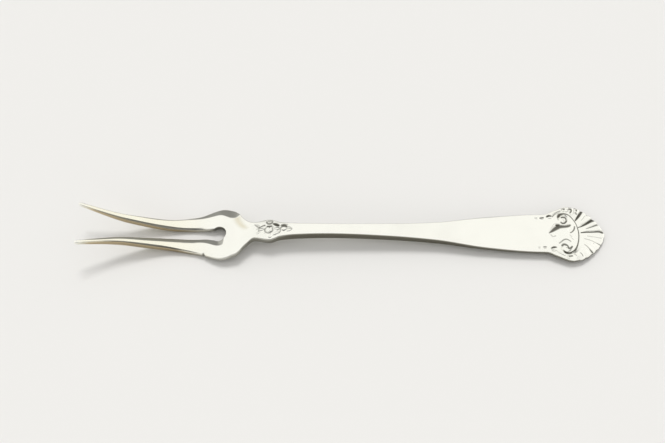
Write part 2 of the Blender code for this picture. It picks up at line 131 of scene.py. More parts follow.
# Grooves outwards from the middle rib: depth, breadth power, and where each starts between arch and rim
GROOVE_DEPTH = (0.85, 0.42, 1.0, 0.28, 1.0, 0.50, 0.45)
GROOVE_POWER = (3.2, 3.0, 2.0, 3.0, 2.0, 2.6, 2.4)
GROOVE_START = (0.02, 0.26, -0.05, 0.32, -0.05, 0.10, -0.1)
# The near half of the shell has shallower grooves with less dark in them, a painted lighter near half
NEAR_GROOVES = 0.07
GROOVE_CUT = 0.92
GROOVE_OXIDE = 0.6
FOOT_GROOVE = 0.9
RIM_FALL = 0.85
SUNK = 0.06 * MM

# Arch and volutes
BAND_WIDTH = 0.70 * MM
BAND_END_WIDTH = 0.50 * MM
BAND_HEIGHT = 0.30 * MM
BAND_SKIRT = 2.2 * MM
BAND_END_SKIRT = 0.25 * MM
BAND_POINTS = 41
ARCH_INSET = 0.375 * MM
VOLUTE_TURN = math.radians(85)
VOLUTE_INNER = 1.50 * MM
ARCH_STEPS = 150
CURL_STEPS = 60

EYE_SCALE = 0.86
EYE_HEIGHT = 0.16 * MM

# Leaf between the volutes
LEAF_HALF_WIDTH = 3.05 * MM
LEAF_HEIGHT = 0.42 * MM
SCOOP_FROM_FOOT = 1.35 * MM
SCOOP_FROM_AXIS = 1.55 * MM
SCOOP_RADIUS = 1.0 * MM
SCOOP_DEPTH = 0.04 * MM

# Reed along each shoulder and the small curl at its end, in millimetres of the plan
REED = ((60.2, 5.45), (61.2, 6.25), (62.4, 6.95), (63.0, 7.25))
REED_WIDTH = 0.55 * MM
CURL = (63.75, 7.55, 0.42)
CURL_TURN = (math.radians(30), math.radians(310))
CURL_WIDTH = 0.36 * MM
TRIM_HEIGHT = 0.18 * MM
TRIM_STEPS = 60
# Edge beads, as shares of the size of their solids
BEAD_STRETCH = 1.45
BEAD_HEIGHT = 0.17

# Flowers of the collar: node, share of its size, height in millimetres, groove round it, whether undarkened (no
# dark ring and no painted slope shade, which leaves the near one painted lighter)
FLORETS = (("floret_centre", 1.06, 0.20, 0.5, False), ("floret_left", 1.0, 0.09, 0.0, True),
           ("floret_right", 1.0, 0.24, 0.4, False))
FLORET_RINGS = 18
FLORET_SIDES = 60
# Its leaves and bud: node, name, turn in degrees and height in millimetres
LEAVES = (("leaf_left", "spray_leaf_left", 24, 0.09), ("sprig", "neck_bud", 0, 0.15),
          ("leaf_right", "spray_leaf_right", -24, 0.28))
# A leaf and a bead on either side of the bud
NECK_LEAF_ENDS = (-0.3 * MM, 1.4 * MM)
NECK_LEAF_OUT = 0.95 * MM
NECK_LEAF_HALF_WIDTH = 0.30 * MM
NECK_LEAF_TURN = math.radians(-38)
NECK_BEAD_INSET = 0.1 * MM
NECK_BEAD_OUT = 1.12 * MM
NECK_BEAD_SIZE = (0.75 * MM, 0.6 * MM)
NECK_HEIGHT = 0.11 * MM
BELL_SCALE = 1.15
BELL_HEIGHT = 0.30 * MM
BELL_WAIST = 0.36
SIDES = (("left", -1), ("right", 1))

# Wear of the head and painted light on it: a painted warm reflection, a nick, a sideways bend, and a slot edge
# pushed inwards
WARM_REFLECTION = ((-30.6, 5.0), (-29.9, 2.9), (-28.1, 0.8))
WARM_REFLECTION_BREADTH = 1.05 * MM
WARM_REFLECTION_START = (-1.0 * MM, 0.8 * MM)
WARM_REFLECTION_END = (-0.4 * MM, 0.6 * MM)
WARM_REFLECTION_UPWARD = 0.97
WARM_REFLECTION_SHARE = 0.30
WARM_REFLECTION_WARMTH = 0.9
NICK = -39.8
NICK_LENGTH = 0.42 * MM
NICK_REACH = 0.8 * MM
NICK_DEPTH = 0.42 * MM
# Painted shade in the nick and on the keyhole's walls
NICK_SHADE = 0.6
KEYHOLE_SHADE = 0.85
HEAD_LEAN = 0.45 * MM
SLOT_BANK = 0.40 * MM
SLOT_BANK_REACH = 1.3 * MM

# Lines cut into the ornament of the shell and then of the collar, dark with oxide in the cuts and with painted
# shade on far-facing flanks: how dark each is, its breadth, once or at each point, and its points in the plan,
# in hundredths of a millimetre
CUT_UNIT = 0.01 * MM
CUT_DEPTH = 0.07 * MM
CUT_STEP = 0.05 * MM
CUT_EDGE = (0.3, 0.72)
CUTS = (
    (0.35, 30, ((5516, 484), (5571, 485))),
    (0.9, 46, ((5673, 483), (5757, 495))),
    (1.0, (55, 64, 50), ((5871, 534), (5920, 559), (5975, 556))),
    (0.6, (24, 24, 24, 24, 20), ((5982, 531), (6019, 530), (6081, 589), (6143, 653), (6270, 720))),
    (0.9, 34, ((6363, 790), (6410, 795))),
    (0.5, (22, 22, 22, 20), ((6428, 704), (6485, 717), (6504, 770), (6476, 795))),
    (0.9, (40, 42, 42, 36), ((6532, 795), (6586, 775), (6588, 710), (6555, 667))),
    (0.9, 44, ((6741, 760), (6746, 734))),
    (0.62, 62, ((6713, 658), (6732, 626))),
    (0.95, (76, 84, 65, 54, 46, 40, 36, 34, 33, 33, 34, 36, 42, 50, 54, 54, 48, 34),
        ((6195, 528), (6223, 582), (6298, 622), (6392, 630), (6482, 602), (6567, 521), (6647, 400),
        (6700, 278), (6728, 145), (6738, 1), (6729, -122), (6692, -288), (6627, -454), (6540, -569),
        (6442, -626), (6350, -635), (6280, -597), (6249, -548))),
    (0.95, (42, 46, 48, 48, 46, 46, 38), ((6287, 512), (6352, 525), (6412, 486), (6424, 411), (6376, 345),
        (6305, 326), (6260, 358))),
    (0.9, (15, 77, 115, 134), ((5880, 2), (5982, 69), (6071, 132), (6140, 174))),
    (1.0, 86, ((6129, 251), (6176, 258))),
    (0.86, (100, 90, 80, 56), ((6197, 184), (6310, 206), (6424, 230), (6512, 266))),
    (0.85, (34, 38, 34, 20), ((6636, 212), (6623, 150), (6574, 75), (6494, 21))),
    (0.35, 31, ((5933, -55), (5983, -110), (6058, -94))),
    (0.65, (34, 34, 34, 34, 30), ((6148, -317), (6214, -265), (6304, -205), (6379, -194), (6483, -250))),
    (0.85, (57, 65, 57, 50, 57, 54, 42), ((6219, -397), (6269, -355), (6333, -363), (6383, -412),
        (6404, -472), (6460, -460), (6502, -418))),
    (0.35, 26, ((5548, -456), (5581, -452))),
    (0.75, 42, ((5694, -447), (5753, -443))),
    (0.95, (42, 61, 34), ((5909, -483), (5976, -452), (6049, -447))),
    (0.4, 23, ((5910, -564), (5972, -577), (6039, -548))),
    (0.85, 42, ((6395, -725), (6479, -712))),
    (0.5, 22, ((6531, -650), (6565, -679), (6588, -718))),
    (0.62, (24, 28, 24), ((6710, -621), (6760, -669), (6782, -718))),
    (0.4, 22, ((6477, -52), (6528, -91))),
    (0.25, 20, ((6498, -112), (6563, -192))),
    (0.92, (42, 61, 73, 69), ((6689, 433), (6765, 521), (6843, 630), (6884, 690))),
    (0.92, (20, 38, 69, 95, 110), ((6748, 208), (6874, 250), (7015, 340), (7140, 430), (7225, 480))),
    (0.7, (18, 27, 34, 38), ((6967, 160), (7096, 215), (7216, 272), (7320, 320))),
    (0.95, (27, 31, 36, 50, 80), ((6813, 40), (6983, 56), (7173, 74), (7346, 92), (7430, 72))),
    (0.35, 22, ((6987, -72), (7172, -92), (7390, -114))),
    (0.45, (20, 24, 24, 24), ((6884, -159), (7048, -205), (7208, -272), (7314, -316))),
    (0.55, (22, 32, 46), ((6868, -350), (6962, -440), (7050, -560))),
    (0.85, (30, 50, 56), ((7005, -495), (7045, -545), (7072, -580))),
    (0.65, (26, 36), ((7245, -286), (7320, -322))),
    (0.28, (20, 24, 24), ((6855, 425), (6920, 505), (6972, 575))),
    (0.3, 24, ((7125, -295), (7145, -310))),
    (0.6, (32, 38, 30), ((-2525, 160), (-2453, 93), (-2397, 53))),
    (0.5, 28, ((-2397, 53), (-2408, -69))),
    (0.8, (26, 34, 48), ((-2397, 53), (-2311, 103), (-2245, 121))),
    (0.75, (36, 41, 41, 41, 36), ((-2194, 248), (-2170, 185), (-2104, 163), (-2039, 190), (-2019, 251))),
    (0.6, 32, ((-2107, 279), (-2031, 284))),
    (0.9, (46, 52, 46), ((-2168, 86), (-2102, 70), (-2048, 92))),
    (0.62, 37, ((-2221, 29), (-2241, -31), (-2207, -95), (-2130, -124), (-2054, -98), (-2012, -32),
        (-2025, 30))),
    (0.95, (60, 92, 69), ((-1984, 164), (-1918, 137), (-1852, 110))),
    (0.55, (32, 32, 32, 28), ((-1861, 24), (-1799, -27), (-1804, -100), (-1836, -135))),
    (0.92, (60, 83, 60), ((-1754, 94), (-1678, 104), (-1623, 66))),
    (0.55, 26, ((-1766, 140), (-1668, 150), (-1592, 125))),
    (0.5, 28, ((-1602, 78), (-1514, 40), (-1470, -10), (-1534, -70), (-1599, -81))),
    (0.3, 24, ((-2008, -202), (-1944, -180), (-1879, -146))))

# Oxide is left in recesses; painted shade is added on the slopes facing the far side, and the near half is
# painted lighter
OXIDE_REACH = 0.20 * MM
SHADED_SIDE = Vector((-0.6, 0.8))
SHADED_SLOPE = (0.17, 0.46)
SLOPE_SHADE = 0.55
FOOT_SHADE = 0.30
LEAST_OXIDE = 0.03
GROOVE_SHARE = 0.5
NEAR_SLOPE_SHARE = 0.35
NEAR_HALF_SHARE = 0.2
HALF_CHANGE_SPAN = (-1.6 * MM, 0.4 * MM)
UPWARD = 0.3
FAR = 1.0

marks = []


def even_line(xs, ys):
    """A curve through (x, y) points that bends as evenly as a sprung strip."""
    steps = np.diff(xs)
    count = len(xs)
    matrix = np.eye(count)
    bends = np.zeros(count)
    for i in range(1, count - 1):
        matrix[i, i - 1:i + 2] = steps[i - 1], 2 * (steps[i - 1] + steps[i]), steps[i]
        bends[i] = 6 * ((ys[i + 1] - ys[i]) / steps[i] - (ys[i] - ys[i - 1]) / steps[i - 1])
    seconds = np.linalg.solve(matrix, bends)

    def value(x):
        i = np.clip(np.searchsorted(xs, x) - 1, 0, count - 2)
        a, b, h = xs[i + 1] - x, x - xs[i], steps[i]
        cubic = (seconds[i] * a ** 3 + seconds[i + 1] * b ** 3) / (6 * h)
        return cubic + (ys[i] / h - seconds[i] * h / 6) * a + (ys[i + 1] / h - seconds[i + 1] * h / 6) * b

    return value


def eased(x, places, values):
    """A value that eases from one place to the next."""
    i = np.clip(np.searchsorted(places, x) - 1, 0, len(places) - 2)
    places, values = np.asarray(places), np.asarray(values)
    share = np.clip((x - places[i]) / (places[i + 1] - places[i]), 0, 1)
    return values[i] + (values[i + 1] - values[i]) * share ** 2 * (3 - 2 * share)


def smooth(low, high, value):
    share = np.clip((value - low) / (high - low), 0, 1)
    return share ** 2 * (3 - 2 * share)


def cross_rings(node, least, wall=0.0):
    """For each cross ring of a solid: x, lowest and highest z, least and greatest reach from the axis."""
    points = np.array([vert.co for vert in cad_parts[node].data.vertices])
    places = points[:, 0].round(6)
    rings = []
    for x in np.unique(places):
        ring = points[places == x]
        reach = np.abs(ring[:, 1])
        row = (x, ring[:, 2].min(), ring[:, 2].max(), reach.min(), reach.max())
        if len(np.unique(ring.round(6), axis=0)) >= least and row[2] - row[1] > wall:
            rings.append(row)
    return np.array(rings)


def middle(node):
    low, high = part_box(node)
    return (low.x + high.x) / 2, (low.y + high.y) / 2


def node_size(node):
    low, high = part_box(node)
    return high - low


def rim_radius(angle):
    """Distance from the focus of the shell to its scalloped edge."""
    along = np.abs(np.cos(angle)) / FOCUS_FROM_END
    across = np.abs(np.sin(angle)) / (SHELL_WIDTH / 2)
    plain = (along ** SHELL_ROUNDNESS + across ** SHELL_ROUNDNESS) ** (-1 / SHELL_ROUNDNESS)
    lobe = np.abs(np.cos(math.pi * angle / RIB_PITCH))
    return plain - SCALLOP_DEPTH * (1 - np.sqrt(lobe))


X_FOCUS = X_END - FOCUS_FROM_END
FAN_HALF_ANGLE = RIB_COUNT * RIB_PITCH / 2
X_CORNER = X_FOCUS + float(rim_radius(FAN_HALF_ANGLE)) * math.cos(FAN_HALF_ANGLE)

tine_rings = cross_rings("left_tine", RING_POINTS)
tine_rings = tine_rings[tine_rings[:, 0] > X_TIP + NOSE / 2]
head_rings = cross_rings("fork_head", RING_POINTS)
plate_rings = cross_rings("terminal_plate", PLATE_POINTS, PLATE_WALL)
plate_x = np.linspace(X_TERMINAL, X_END, PLATE_STATIONS)
flare_x = np.linspace(X_TERMINAL, X_CORNER, FLARE_STATIONS)
bars = np.concatenate([tine_rings, head_rings] + [
    cross_rings(node, RING_POINTS) for node in ("neck_collar", "stem", "handle_blade")])
bars = bars[np.unique(bars[:, 0].round(5), return_index=True)[1]]


def along_plate(column, places):
    return np.interp(places, plate_rings[:, 0], plate_rings[:, column])


side_x = np.concatenate([bars[:, 0], plate_x[1:]])
back_line = even_line(side_x, np.concatenate([bars[:, 1], along_plate(1, plate_x[1:])]))
face_line = even_line(side_x, np.concatenate([bars[:, 2], along_plate(2, plate_x[1:])]))
edge_line = even_line(np.concatenate([bars[:, 0], flare_x[1:]]),
                      np.concatenate([bars[:, 4], along_plate(4, flare_x[1:])]))
inner_line = even_line(tine_rings[:, 0], tine_rings[:, 3])
SLOT_HALF = float(inner_line(X_ROOT))
X_SHOULDER = float(head_rings[np.argmax(head_rings[:, 4]), 0])
X_COLLAR = middle("floret_centre")[0]

# How the face falls away to its outer edges: place, drop at the edge, reach inwards, crispness, edge rounding
FALL = np.array((
    (X_TIP / MM, 0.05, 0.30, 1.5, 0.25),
    (X_TIP / MM + 6, 0.09, 0.25, 1.1, 0.30),
    (X_TIP / MM + 14, 0.13, 0.38, 1.03, 0.32),
    (X_ROOT / MM - 6, 0.13, 0.40, 1.03, 0.30),
    (X_ROOT / MM + 1, 0.08, 0.40, 1.1, 0.22),
    (X_ROOT / MM + 4, 0.03, 0.30, 1.5, 0.16),
    (X_NECK / MM - 1.5, 0.06, 0.40, 1.5, 0.18),
    (X_COLLAR / MM, 0.42, 2.60, 2.0, 0.26),
    (X_STEM / MM, 0.14, 1.20, 2.0, 0.20),
    (X_STEM / MM + 8, 0.08, 0.90, 2.0, 0.16),
    (X_BLADE / MM, 0.10, 0.90, 1.8, 0.16),
    (X_TERMINAL / MM - 12, 0.14, 0.60, 1.2, 0.14),
    (X_TERMINAL / MM, 0.08, 0.80, 2.0, 0.14),
    (X_END / MM, 0.05, 0.80, 2.0, 0.14)))
FALL[:, (0, 1, 2, 4)] *= MM
# The same along the slot and keyhole
INNER_FALL = np.array((
    (X_TIP / MM, 0.04, 0.30, 1.5, 0.25),
    (X_TIP / MM + 10, 0.08, 0.34, 1.05, 0.26),
    (X_TIP / MM + 16, 0.22, 0.56, 1.03, 0.18),
    (X_ROOT / MM - 8, 0.34, 0.72, 1.03, 0.13),
    (X_ROOT / MM - 2, 0.30, 0.66, 1.03, 0.13),
    (X_ROOT / MM + 2, 0.14, 0.36, 1.10, 0.14),
    (X_KEYHOLE / MM - 1.8, 0.03, 0.20, 1.2, 0.14),
    (X_NECK / MM, 0.03, 0.20, 1.2, 0.14)))
INNER_FALL[:, (0, 1, 2, 4)] *= MM
# No rounding takes up more than this share of the wall; the back falls by a share of what the face does
ROUNDING_SHARE = 0.36
BACK_SHARE = 0.4
# Along the near side of the slot a facet takes the place of the slope
NEAR_INNER_DROP = 0.15
# The near tine's outer edge has its own drop, reach and rounding, eased in and out along it
NEAR_TINE_FALL = (0.16 * MM, 0.56 * MM, 0.08 * MM)
NEAR_TINE_START = (-68 * MM, -64 * MM)
NEAR_TINE_END = (-45 * MM, -48.5 * MM)
# Flat facets ground along the shoulders and the slot: where each meets the face, in millimetres of the plan
FACET_SLOPE = 0.345
SLOT_FACET_SLOPE = 0.37
FACET_EASE = 0.05 * MM
# Grey painted shade on the facets: how much, from what drop of the face, on faces pointing this far up, and
# where it ends on the near shoulder
FACET_SHADE = 0.62
FACET_SHADE_DROP = (0.01 * MM, 0.05 * MM)
FACET_UPWARD = 0.5
NEAR_SHOULDER_END = (-43.5 * MM, -48 * MM)
SLOT_FACET_END = (X_KEYHOLE + 1.8 * MM, X_KEYHOLE - 0.4 * MM)
SLOT_FACET_SIDE = (0.5 * MM, 1.6 * MM)
SHOULDER_FACET = ((-44.3, 4.80), (-41.0, 5.06), (-38.8, 5.38), (-36.8, 5.76), (-35.2, 5.86), (-33.8, 5.32),
                  (-32.4, 4.66), (-31.4, 4.56), (-30.6, 4.86), (-30.0, 5.45), (-29.4, 6.20))
SLOT_FACET = ((-40.6, 2.62), (-38.3, 3.11), (-36.4, 3.80), (-35.0, 3.90), (-33.0, 3.85))
# How far these facets reach across the tines
OUTER_FACET = ((-73.0, 0.02), (-66.0, 0.26), (-58.0, 0.45), (-50.0, 0.50))
INNER_FACET = ((-73.0, 0.05), (-68.0, 0.32), (-62.0, 0.50), (-56.0, 0.55), (-50.0, 0.55), (-44.0, 0.50))
NEAR_INNER_FACET = ((-73.5, 0.20), (-69.0, 0.62), (-63.0, 0.82), (-57.5, 0.98), (-52.0, 1.02), (-46.0, 1.00),
                    (-43.0, 1.00))
# Where the worn parts of the head start and stop
ON_HEAD = (X_ROOT - 3 * MM, X_ROOT + 3 * MM)
BANK_START = (-62 * MM, -46 * MM)
BANK_END = (X_KEYHOLE - 1.3 * MM, X_KEYHOLE - 3.8 * MM)
LEAN_START = (X_SHOULDER + 2.8 * MM, X_SHOULDER + 5.6 * MM)
LEAN_END = (X_NECK, X_NECK - 2.5 * MM)
KEYHOLE_WALL = (0.10 * MM, 0.02 * MM)
KEYHOLE_START = (X_KEYHOLE - 3 * MM, X_KEYHOLE - 1 * MM)
# The yellowed silver of the tines, with the golden painted reflection on their walls, fades out over the head
# and at the points
WARM_ROOT = (X_ROOT + 7 * MM, X_ROOT - 10 * MM)
WARM_TIP = (X_TIP, X_TIP + 4 * MM)
# Where the mesh of the head turns from its keyhole to its neck, on the outer edge
NECK_SIDE = X_NECK - 4.5 * MM
# How much painted shade (a golden painted reflection on the tines) lies on the side walls along the fork, and
# the least on the back
WALL_PLACES = (X_TIP, X_TIP + 5 * MM, X_ROOT - 6 * MM, X_ROOT + 3 * MM, X_SHOULDER,
               X_NECK, X_STEM, X_BLADE, X_END)
WALL_PAINTED_SHADE = (0.0, 0.95, 0.95, 0.40, 0.30, 0.75, 1.0, 1.0, 0.85)
BACK_PAINTED_SHADE = 0.25


def slope(line, x):
    return (line(x + STEP / 2) - line(x - STEP / 2)) / STEP


def outer_gap(x, y):
    """How far a point lies inside the plan outline."""
    along = np.minimum(x, X_CORNER)
    bar = (edge_line(along) - np.abs(y)) / np.hypot(1, slope(edge_line, along))
    angle = np.arctan2(np.abs(y), x - X_FOCUS)
    fan = rim_radius(angle) - np.hypot(x - X_FOCUS, y)
    return np.maximum(np.where((x > X_FOCUS) & (angle < FAN_HALF_ANGLE), fan, bar), 0)


def inner_gap(x, y):
    """How far a point lies from the slot and keyhole; far, where there is neither."""
    reach = np.abs(y)
    along_tine = np.clip(x, X_TIP, X_ROOT)
    tine = (reach - inner_line(along_tine)) / np.hypot(1, slope(inner_line, along_tine))
    past_slot = np.hypot(x - X_KEYHOLE, np.maximum(reach - SLOT_HALF, 0))
    slot = np.where(x <= X_KEYHOLE, reach - SLOT_HALF, past_slot)
    hole = np.minimum(slot, np.hypot(x - X_KEYHOLE, y) - KEYHOLE_RADIUS)
    return np.maximum(np.where(x < X_ROOT, tine, np.where(x < X_NECK, hole, FAR)), 0)


def fall(gap, drop, reach, power, rounding):
    """Drop of the face at a distance from an edge: a slope, then the rounded edge."""
    soft = drop * np.clip(1 - gap / reach, 0, 1) ** power
    inside = np.clip(1 - gap / rounding, 0, 1)
    return soft + rounding * (1 - np.sqrt(1 - inside ** 2))


def along_fall(table, x):
    """Drop, reach, crispness and rounding at a place."""
    drop, reach, power, rounding = (eased(x, table[:, 0], table[:, column]) for column in (1, 2, 3, 4))
    return drop, reach, power, np.minimum(rounding, ROUNDING_SHARE * (face_line(x) - back_line(x)))


def rounding_at(table, x):
    return along_fall(table, x)[3]


def edge_fall(x, y, share):
    drop, reach, power, rounding = along_fall(FALL, x)
    near_tine = np.where(y < 0, smooth(*NEAR_TINE_START, x) * smooth(*NEAR_TINE_END, x), 0)
    drop, reach, rounding = (usual + (near - usual) * near_tine
                             for usual, near in zip((drop, reach, rounding), NEAR_TINE_FALL))
    outer = fall(outer_gap(x, y), share * drop, reach, power, rounding)
    drop, reach, power, rounding = along_fall(INNER_FALL, x)
    drop = drop * np.where(y < 0, NEAR_INNER_DROP, 1)
    return outer + fall(inner_gap(x, y), share * drop, reach, power, rounding)


def facet_line(edge, inwards, tine_table, head_table):
    tine_points = [(x, float(edge(x * MM)) / MM + inwards * reach) for x, reach in tine_table]
    return even_line(*np.array(tine_points + list(head_table)).T * MM)


shoulder_facet = facet_line(edge_line, -1, OUTER_FACET, SHOULDER_FACET)
far_slot_facet = facet_line(inner_line, 1, INNER_FACET, SLOT_FACET)
near_slot_facet = facet_line(inner_line, 1, NEAR_INNER_FACET, SLOT_FACET)


def facets(x, y):
    """Drop of the face over the facets; the head has lost its near shoulder's and the slot's far one."""
    def past(line, first, last, sign):
        over = sign * (np.abs(y) - line(np.clip(x, first * MM, last * MM)))
        return np.where((x > first * MM) & (x < last * MM), (over + np.hypot(over, FACET_EASE)) / 2, 0)

    on_head = smooth(*ON_HEAD, x)
    shoulder = past(shoulder_facet, OUTER_FACET[0][0], SHOULDER_FACET[-1][0], 1)
    far_slot = past(far_slot_facet, INNER_FACET[0][0], SLOT_FACET[-1][0], -1) * (1 - on_head)
    near_slot = past(near_slot_facet, NEAR_INNER_FACET[0][0], SLOT_FACET[-1][0], -1)
    near_slot = near_slot * smooth(*SLOT_FACET_END, x) * smooth(*SLOT_FACET_SIDE, np.abs(y))
    return np.where(y < 0, FACET_SLOPE * shoulder * (1 - on_head) + SLOT_FACET_SLOPE * near_slot,
                    FACET_SLOPE * (shoulder + far_slot))


def slot_bank(x, y):
    """How far the near edge of the slot stands into it, with the metal beside it."""
    along = smooth(*BANK_START, x) * smooth(*BANK_END, x)
    return SLOT_BANK * along * smooth(SLOT_BANK_REACH, 0, inner_gap(x, y)) * (y < 0)


def face(x, y):
    return face_line(x) - edge_fall(x, y, 1.0) - facets(x, y)


def back(x, y):
    return back_line(x) + edge_fall(x, y, BACK_SHARE)


def edge_painted_shade(x, y):
    """Painted shade, and a golden painted reflection on the tines: most on the side walls, none on the face."""
    outer = np.clip(1 - outer_gap(x, y) / rounding_at(FALL, x), 0, 1)
    inner = np.clip(1 - inner_gap(x, y) / rounding_at(INNER_FALL, x), 0, 1)
    return np.maximum(outer, inner) ** 1.5 * eased(x, WALL_PLACES, WALL_PAINTED_SHADE)


def warmth(x):
    return smooth(*WARM_ROOT, x) * smooth(*WARM_TIP, x)


def skin(rows, layers, closed=True):
    """A grid laid on rows of points, each with the named values of its layers."""
    along, across = rows.shape[:2]
    bm = bmesh.new()
    bmesh.ops.create_grid(bm, x_segments=across - 1, y_segments=along - 1, size=1.0)
    for vert, point in zip(bm.verts, rows.reshape(-1, 3)):
        vert.co = point
    layers = {"oxide_and_painted_shade": 0, "painted_shade_and_reflection": 0, "warmth": warmth(rows[..., 0]), **layers}
    for name, values in layers.items():
        layer = bm.verts.layers.float.new(name)
        for vert, value in zip(bm.verts, np.broadcast_to(values, rows.shape[:2]).ravel()):
            vert[layer] = value
    if closed:
        close(bm)
    return bm


def wrap(rows):
    """Rows whose last point meets their first."""
    return np.concatenate([rows, rows[:, :1]], axis=1)


def weld(bm):
    bmesh.ops.remove_doubles(bm, verts=bm.verts, dist=WELD)
    bmesh.ops.dissolve_degenerate(bm, edges=bm.edges, dist=WELD / 2)


def close(bm):
    """Weld a skin's seams and poles, and fill its ends."""
    weld(bm)
    bmesh.ops.holes_fill(bm, edges=[edge for edge in bm.edges if edge.is_boundary], sides=0)
    bmesh.ops.recalc_face_normals(bm, faces=bm.faces)


def add_object(name, bm, material):
    mesh = bpy.data.meshes.new(name)
    bm.to_mesh(mesh)
    bm.free()
    mesh.materials.append(material)
    thing = bpy.data.objects.new(name, mesh)
    bpy.context.scene.collection.objects.link(thing)
    return thing


def add_piece(name, bm, material, slot, *nodes):
    piece = add_object(name, bm, material)
    piece.data.shade_smooth()
    piece.data.set_sharp_from_angle(angle=CREASE)
    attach(piece, "root")
    if nodes:
        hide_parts(*nodes)


def plan_line(x, y):
    return np.stack(np.broadcast_arrays(x, y), axis=1)


def quarter(steps):
    """Shares from 0 to 1, crowded towards 0."""
    return 1 - np.cos(np.linspace(0, math.pi / 2, steps + 1))


def crowded(points):
    """A row of places from -1 to 1, crowded towards both ends."""
    return np.sin(np.linspace(-math.pi / 2, math.pi / 2, points))[None, :]


def strip(inner, outer, steps, inner_rounding, outer_rounding):
    """Plan points across a strip from one line to another, crowded into its rounded edges."""
    span = np.linalg.norm(outer - inner, axis=1)[:, None]
    turn = quarter(CORNER_STEPS)[None, :]
    near = inner_rounding[:, None] * turn[:, :-1]
    far = span - outer_rounding[:, None] * turn[:, ::-1][:, 1:]
    shares = np.linspace(0, 1, steps + 1)[None, :]
    middle = inner_rounding[:, None] + shares * (span - inner_rounding[:, None] - outer_rounding[:, None])
    across = np.concatenate([near, middle, far], axis=1) / span
    return inner[:, None, :] + (outer - inner)[:, None, :] * across[..., None]


def bar_rows(plan):
    """Loops over the face and back under it, with the painted shade of each point."""
    x, y = plan[..., 0], plan[..., 1]
    top = np.stack([x, y, face(x, y)], axis=-1)
    bottom = np.stack([x, y, back(x, y)], axis=-1)[:, ::-1]
    painted_shade_and_reflection = edge_painted_shade(x, y)
    under = np.maximum(painted_shade_and_reflection, BACK_PAINTED_SHADE)[:, ::-1]
    return np.concatenate([top, bottom], axis=1), np.concatenate([painted_shade_and_reflection, under], axis=1)


def bar_skin(rows, painted_shade_and_reflection, closed=True):
    return skin(wrap(rows), {"painted_shade_and_reflection": wrap(painted_shade_and_reflection)}, closed)


def stretch(x_from, x_to, step=STEP):
    return np.linspace(x_from, x_to, max(2, round((x_to - x_from) / step)) + 1)


def tine(side):
    """One prong, its nose drawn in to a round point."""
    nose = X_TIP + NOSE * quarter(NOSE_STEPS)
    x = np.concatenate([nose, stretch(X_TIP + NOSE, X_ROOT)[1:]])
    inner, outer = plan_line(x, inner_line(x)), plan_line(x, edge_line(x))
    most = TIP_ROUNDING_SHARE * (edge_line(x) - inner_line(x))
    roundings = (np.minimum(rounding_at(table, x), most) for table in (INNER_FALL, FALL))
    rows, painted_shade_and_reflection = bar_rows(strip(inner, outer, FACE_STEPS, *roundings) * (1, side))
    bank = slot_bank(rows[..., 0], rows[..., 1])
    top = rows.shape[1] // 2
    rows[..., 1] += bank
    rows[:, :top, 2] -= SLOT_FACET_SLOPE * bank[:, :top]
    middle = rows.mean(axis=1, keepdims=True)
    draw = np.sqrt(1 - np.clip(1 - (x - X_TIP) / NOSE, 0, 1) ** 2)[:, None, None]
    rows[..., 1:] = (middle + (rows - middle) * draw)[..., 1:]
    return bar_skin(rows, painted_shade_and_reflection)


def head_plan():
    """Plan of one half of the head: from the slot, the keyhole and the axis out to the shouldered edge."""
    meet = math.pi - math.asin(SLOT_HALF / KEYHOLE_RADIUS)
    slot_end = X_KEYHOLE + KEYHOLE_RADIUS * math.cos(meet)
    slot_x = stretch(X_ROOT, slot_end)
    turn = np.linspace(meet, 0, KEYHOLE_STEPS)
    hole_end = X_KEYHOLE + KEYHOLE_RADIUS
    lip_rounding = rounding_at(INNER_FALL, np.array([hole_end]))
    lip = hole_end + lip_rounding * quarter(CORNER_STEPS)
    axis_x = np.concatenate([lip[1:], stretch(lip[-1], X_NECK)[1:]])
    inner = np.concatenate([
        plan_line(slot_x, SLOT_HALF),
        plan_line(X_KEYHOLE + KEYHOLE_RADIUS * np.cos(turn), KEYHOLE_RADIUS * np.sin(turn))[1:],
        plan_line(axis_x, 0.0)])
    outer_x = np.concatenate([slot_x, np.linspace(slot_end, NECK_SIDE, len(turn))[1:],
                              np.linspace(NECK_SIDE, X_NECK, len(axis_x) + 1)[1:]])
    outer = plan_line(outer_x, edge_line(outer_x))
    has_edge = np.concatenate([np.ones(len(slot_x) + len(turn) - 1), np.zeros(len(axis_x))])
    inner_rounding = rounding_at(INNER_FALL, inner[:, 0]) * has_edge
    return strip(inner, outer, HEAD_STEPS, inner_rounding, rounding_at(FALL, outer_x))


def terminal_plan():
    """Plan of one half of the flared end, from its axis out to the hollow side and the scalloped rim."""
    count = len(stretch(X_TERMINAL, X_CORNER, FINE_STEP))
    side_x = np.linspace(X_TERMINAL, X_CORNER, count)
    angles = FAN_HALF_ANGLE * (1 - np.linspace(0, 1, RIB_COUNT * RIB_STEPS // 2 + 1))
    rim = rim_radius(angles)
    outer = np.concatenate([plan_line(side_x, edge_line(side_x)),
                            plan_line(X_FOCUS + rim * np.cos(angles), rim * np.sin(angles))[1:]])
    outer[-1, 1] = 0
    inner = np.concatenate([plan_line(np.linspace(X_TERMINAL, X_FOCUS, count), 0.0),
                            np.tile((X_FOCUS, 0.0), (len(angles) - 1, 1))])
    return strip(inner, outer, WIDE_STEPS, np.zeros(len(inner)), rounding_at(FALL, outer[:, 0]))


def far_half_darkening(y):
    """Share of the dark that is kept: all of it on the far half, less on the near half, which is painted
    lighter.
    """
    return NEAR_HALF_SHARE + (1 - NEAR_HALF_SHARE) * float(smooth(*HALF_CHANGE_SPAN, y))


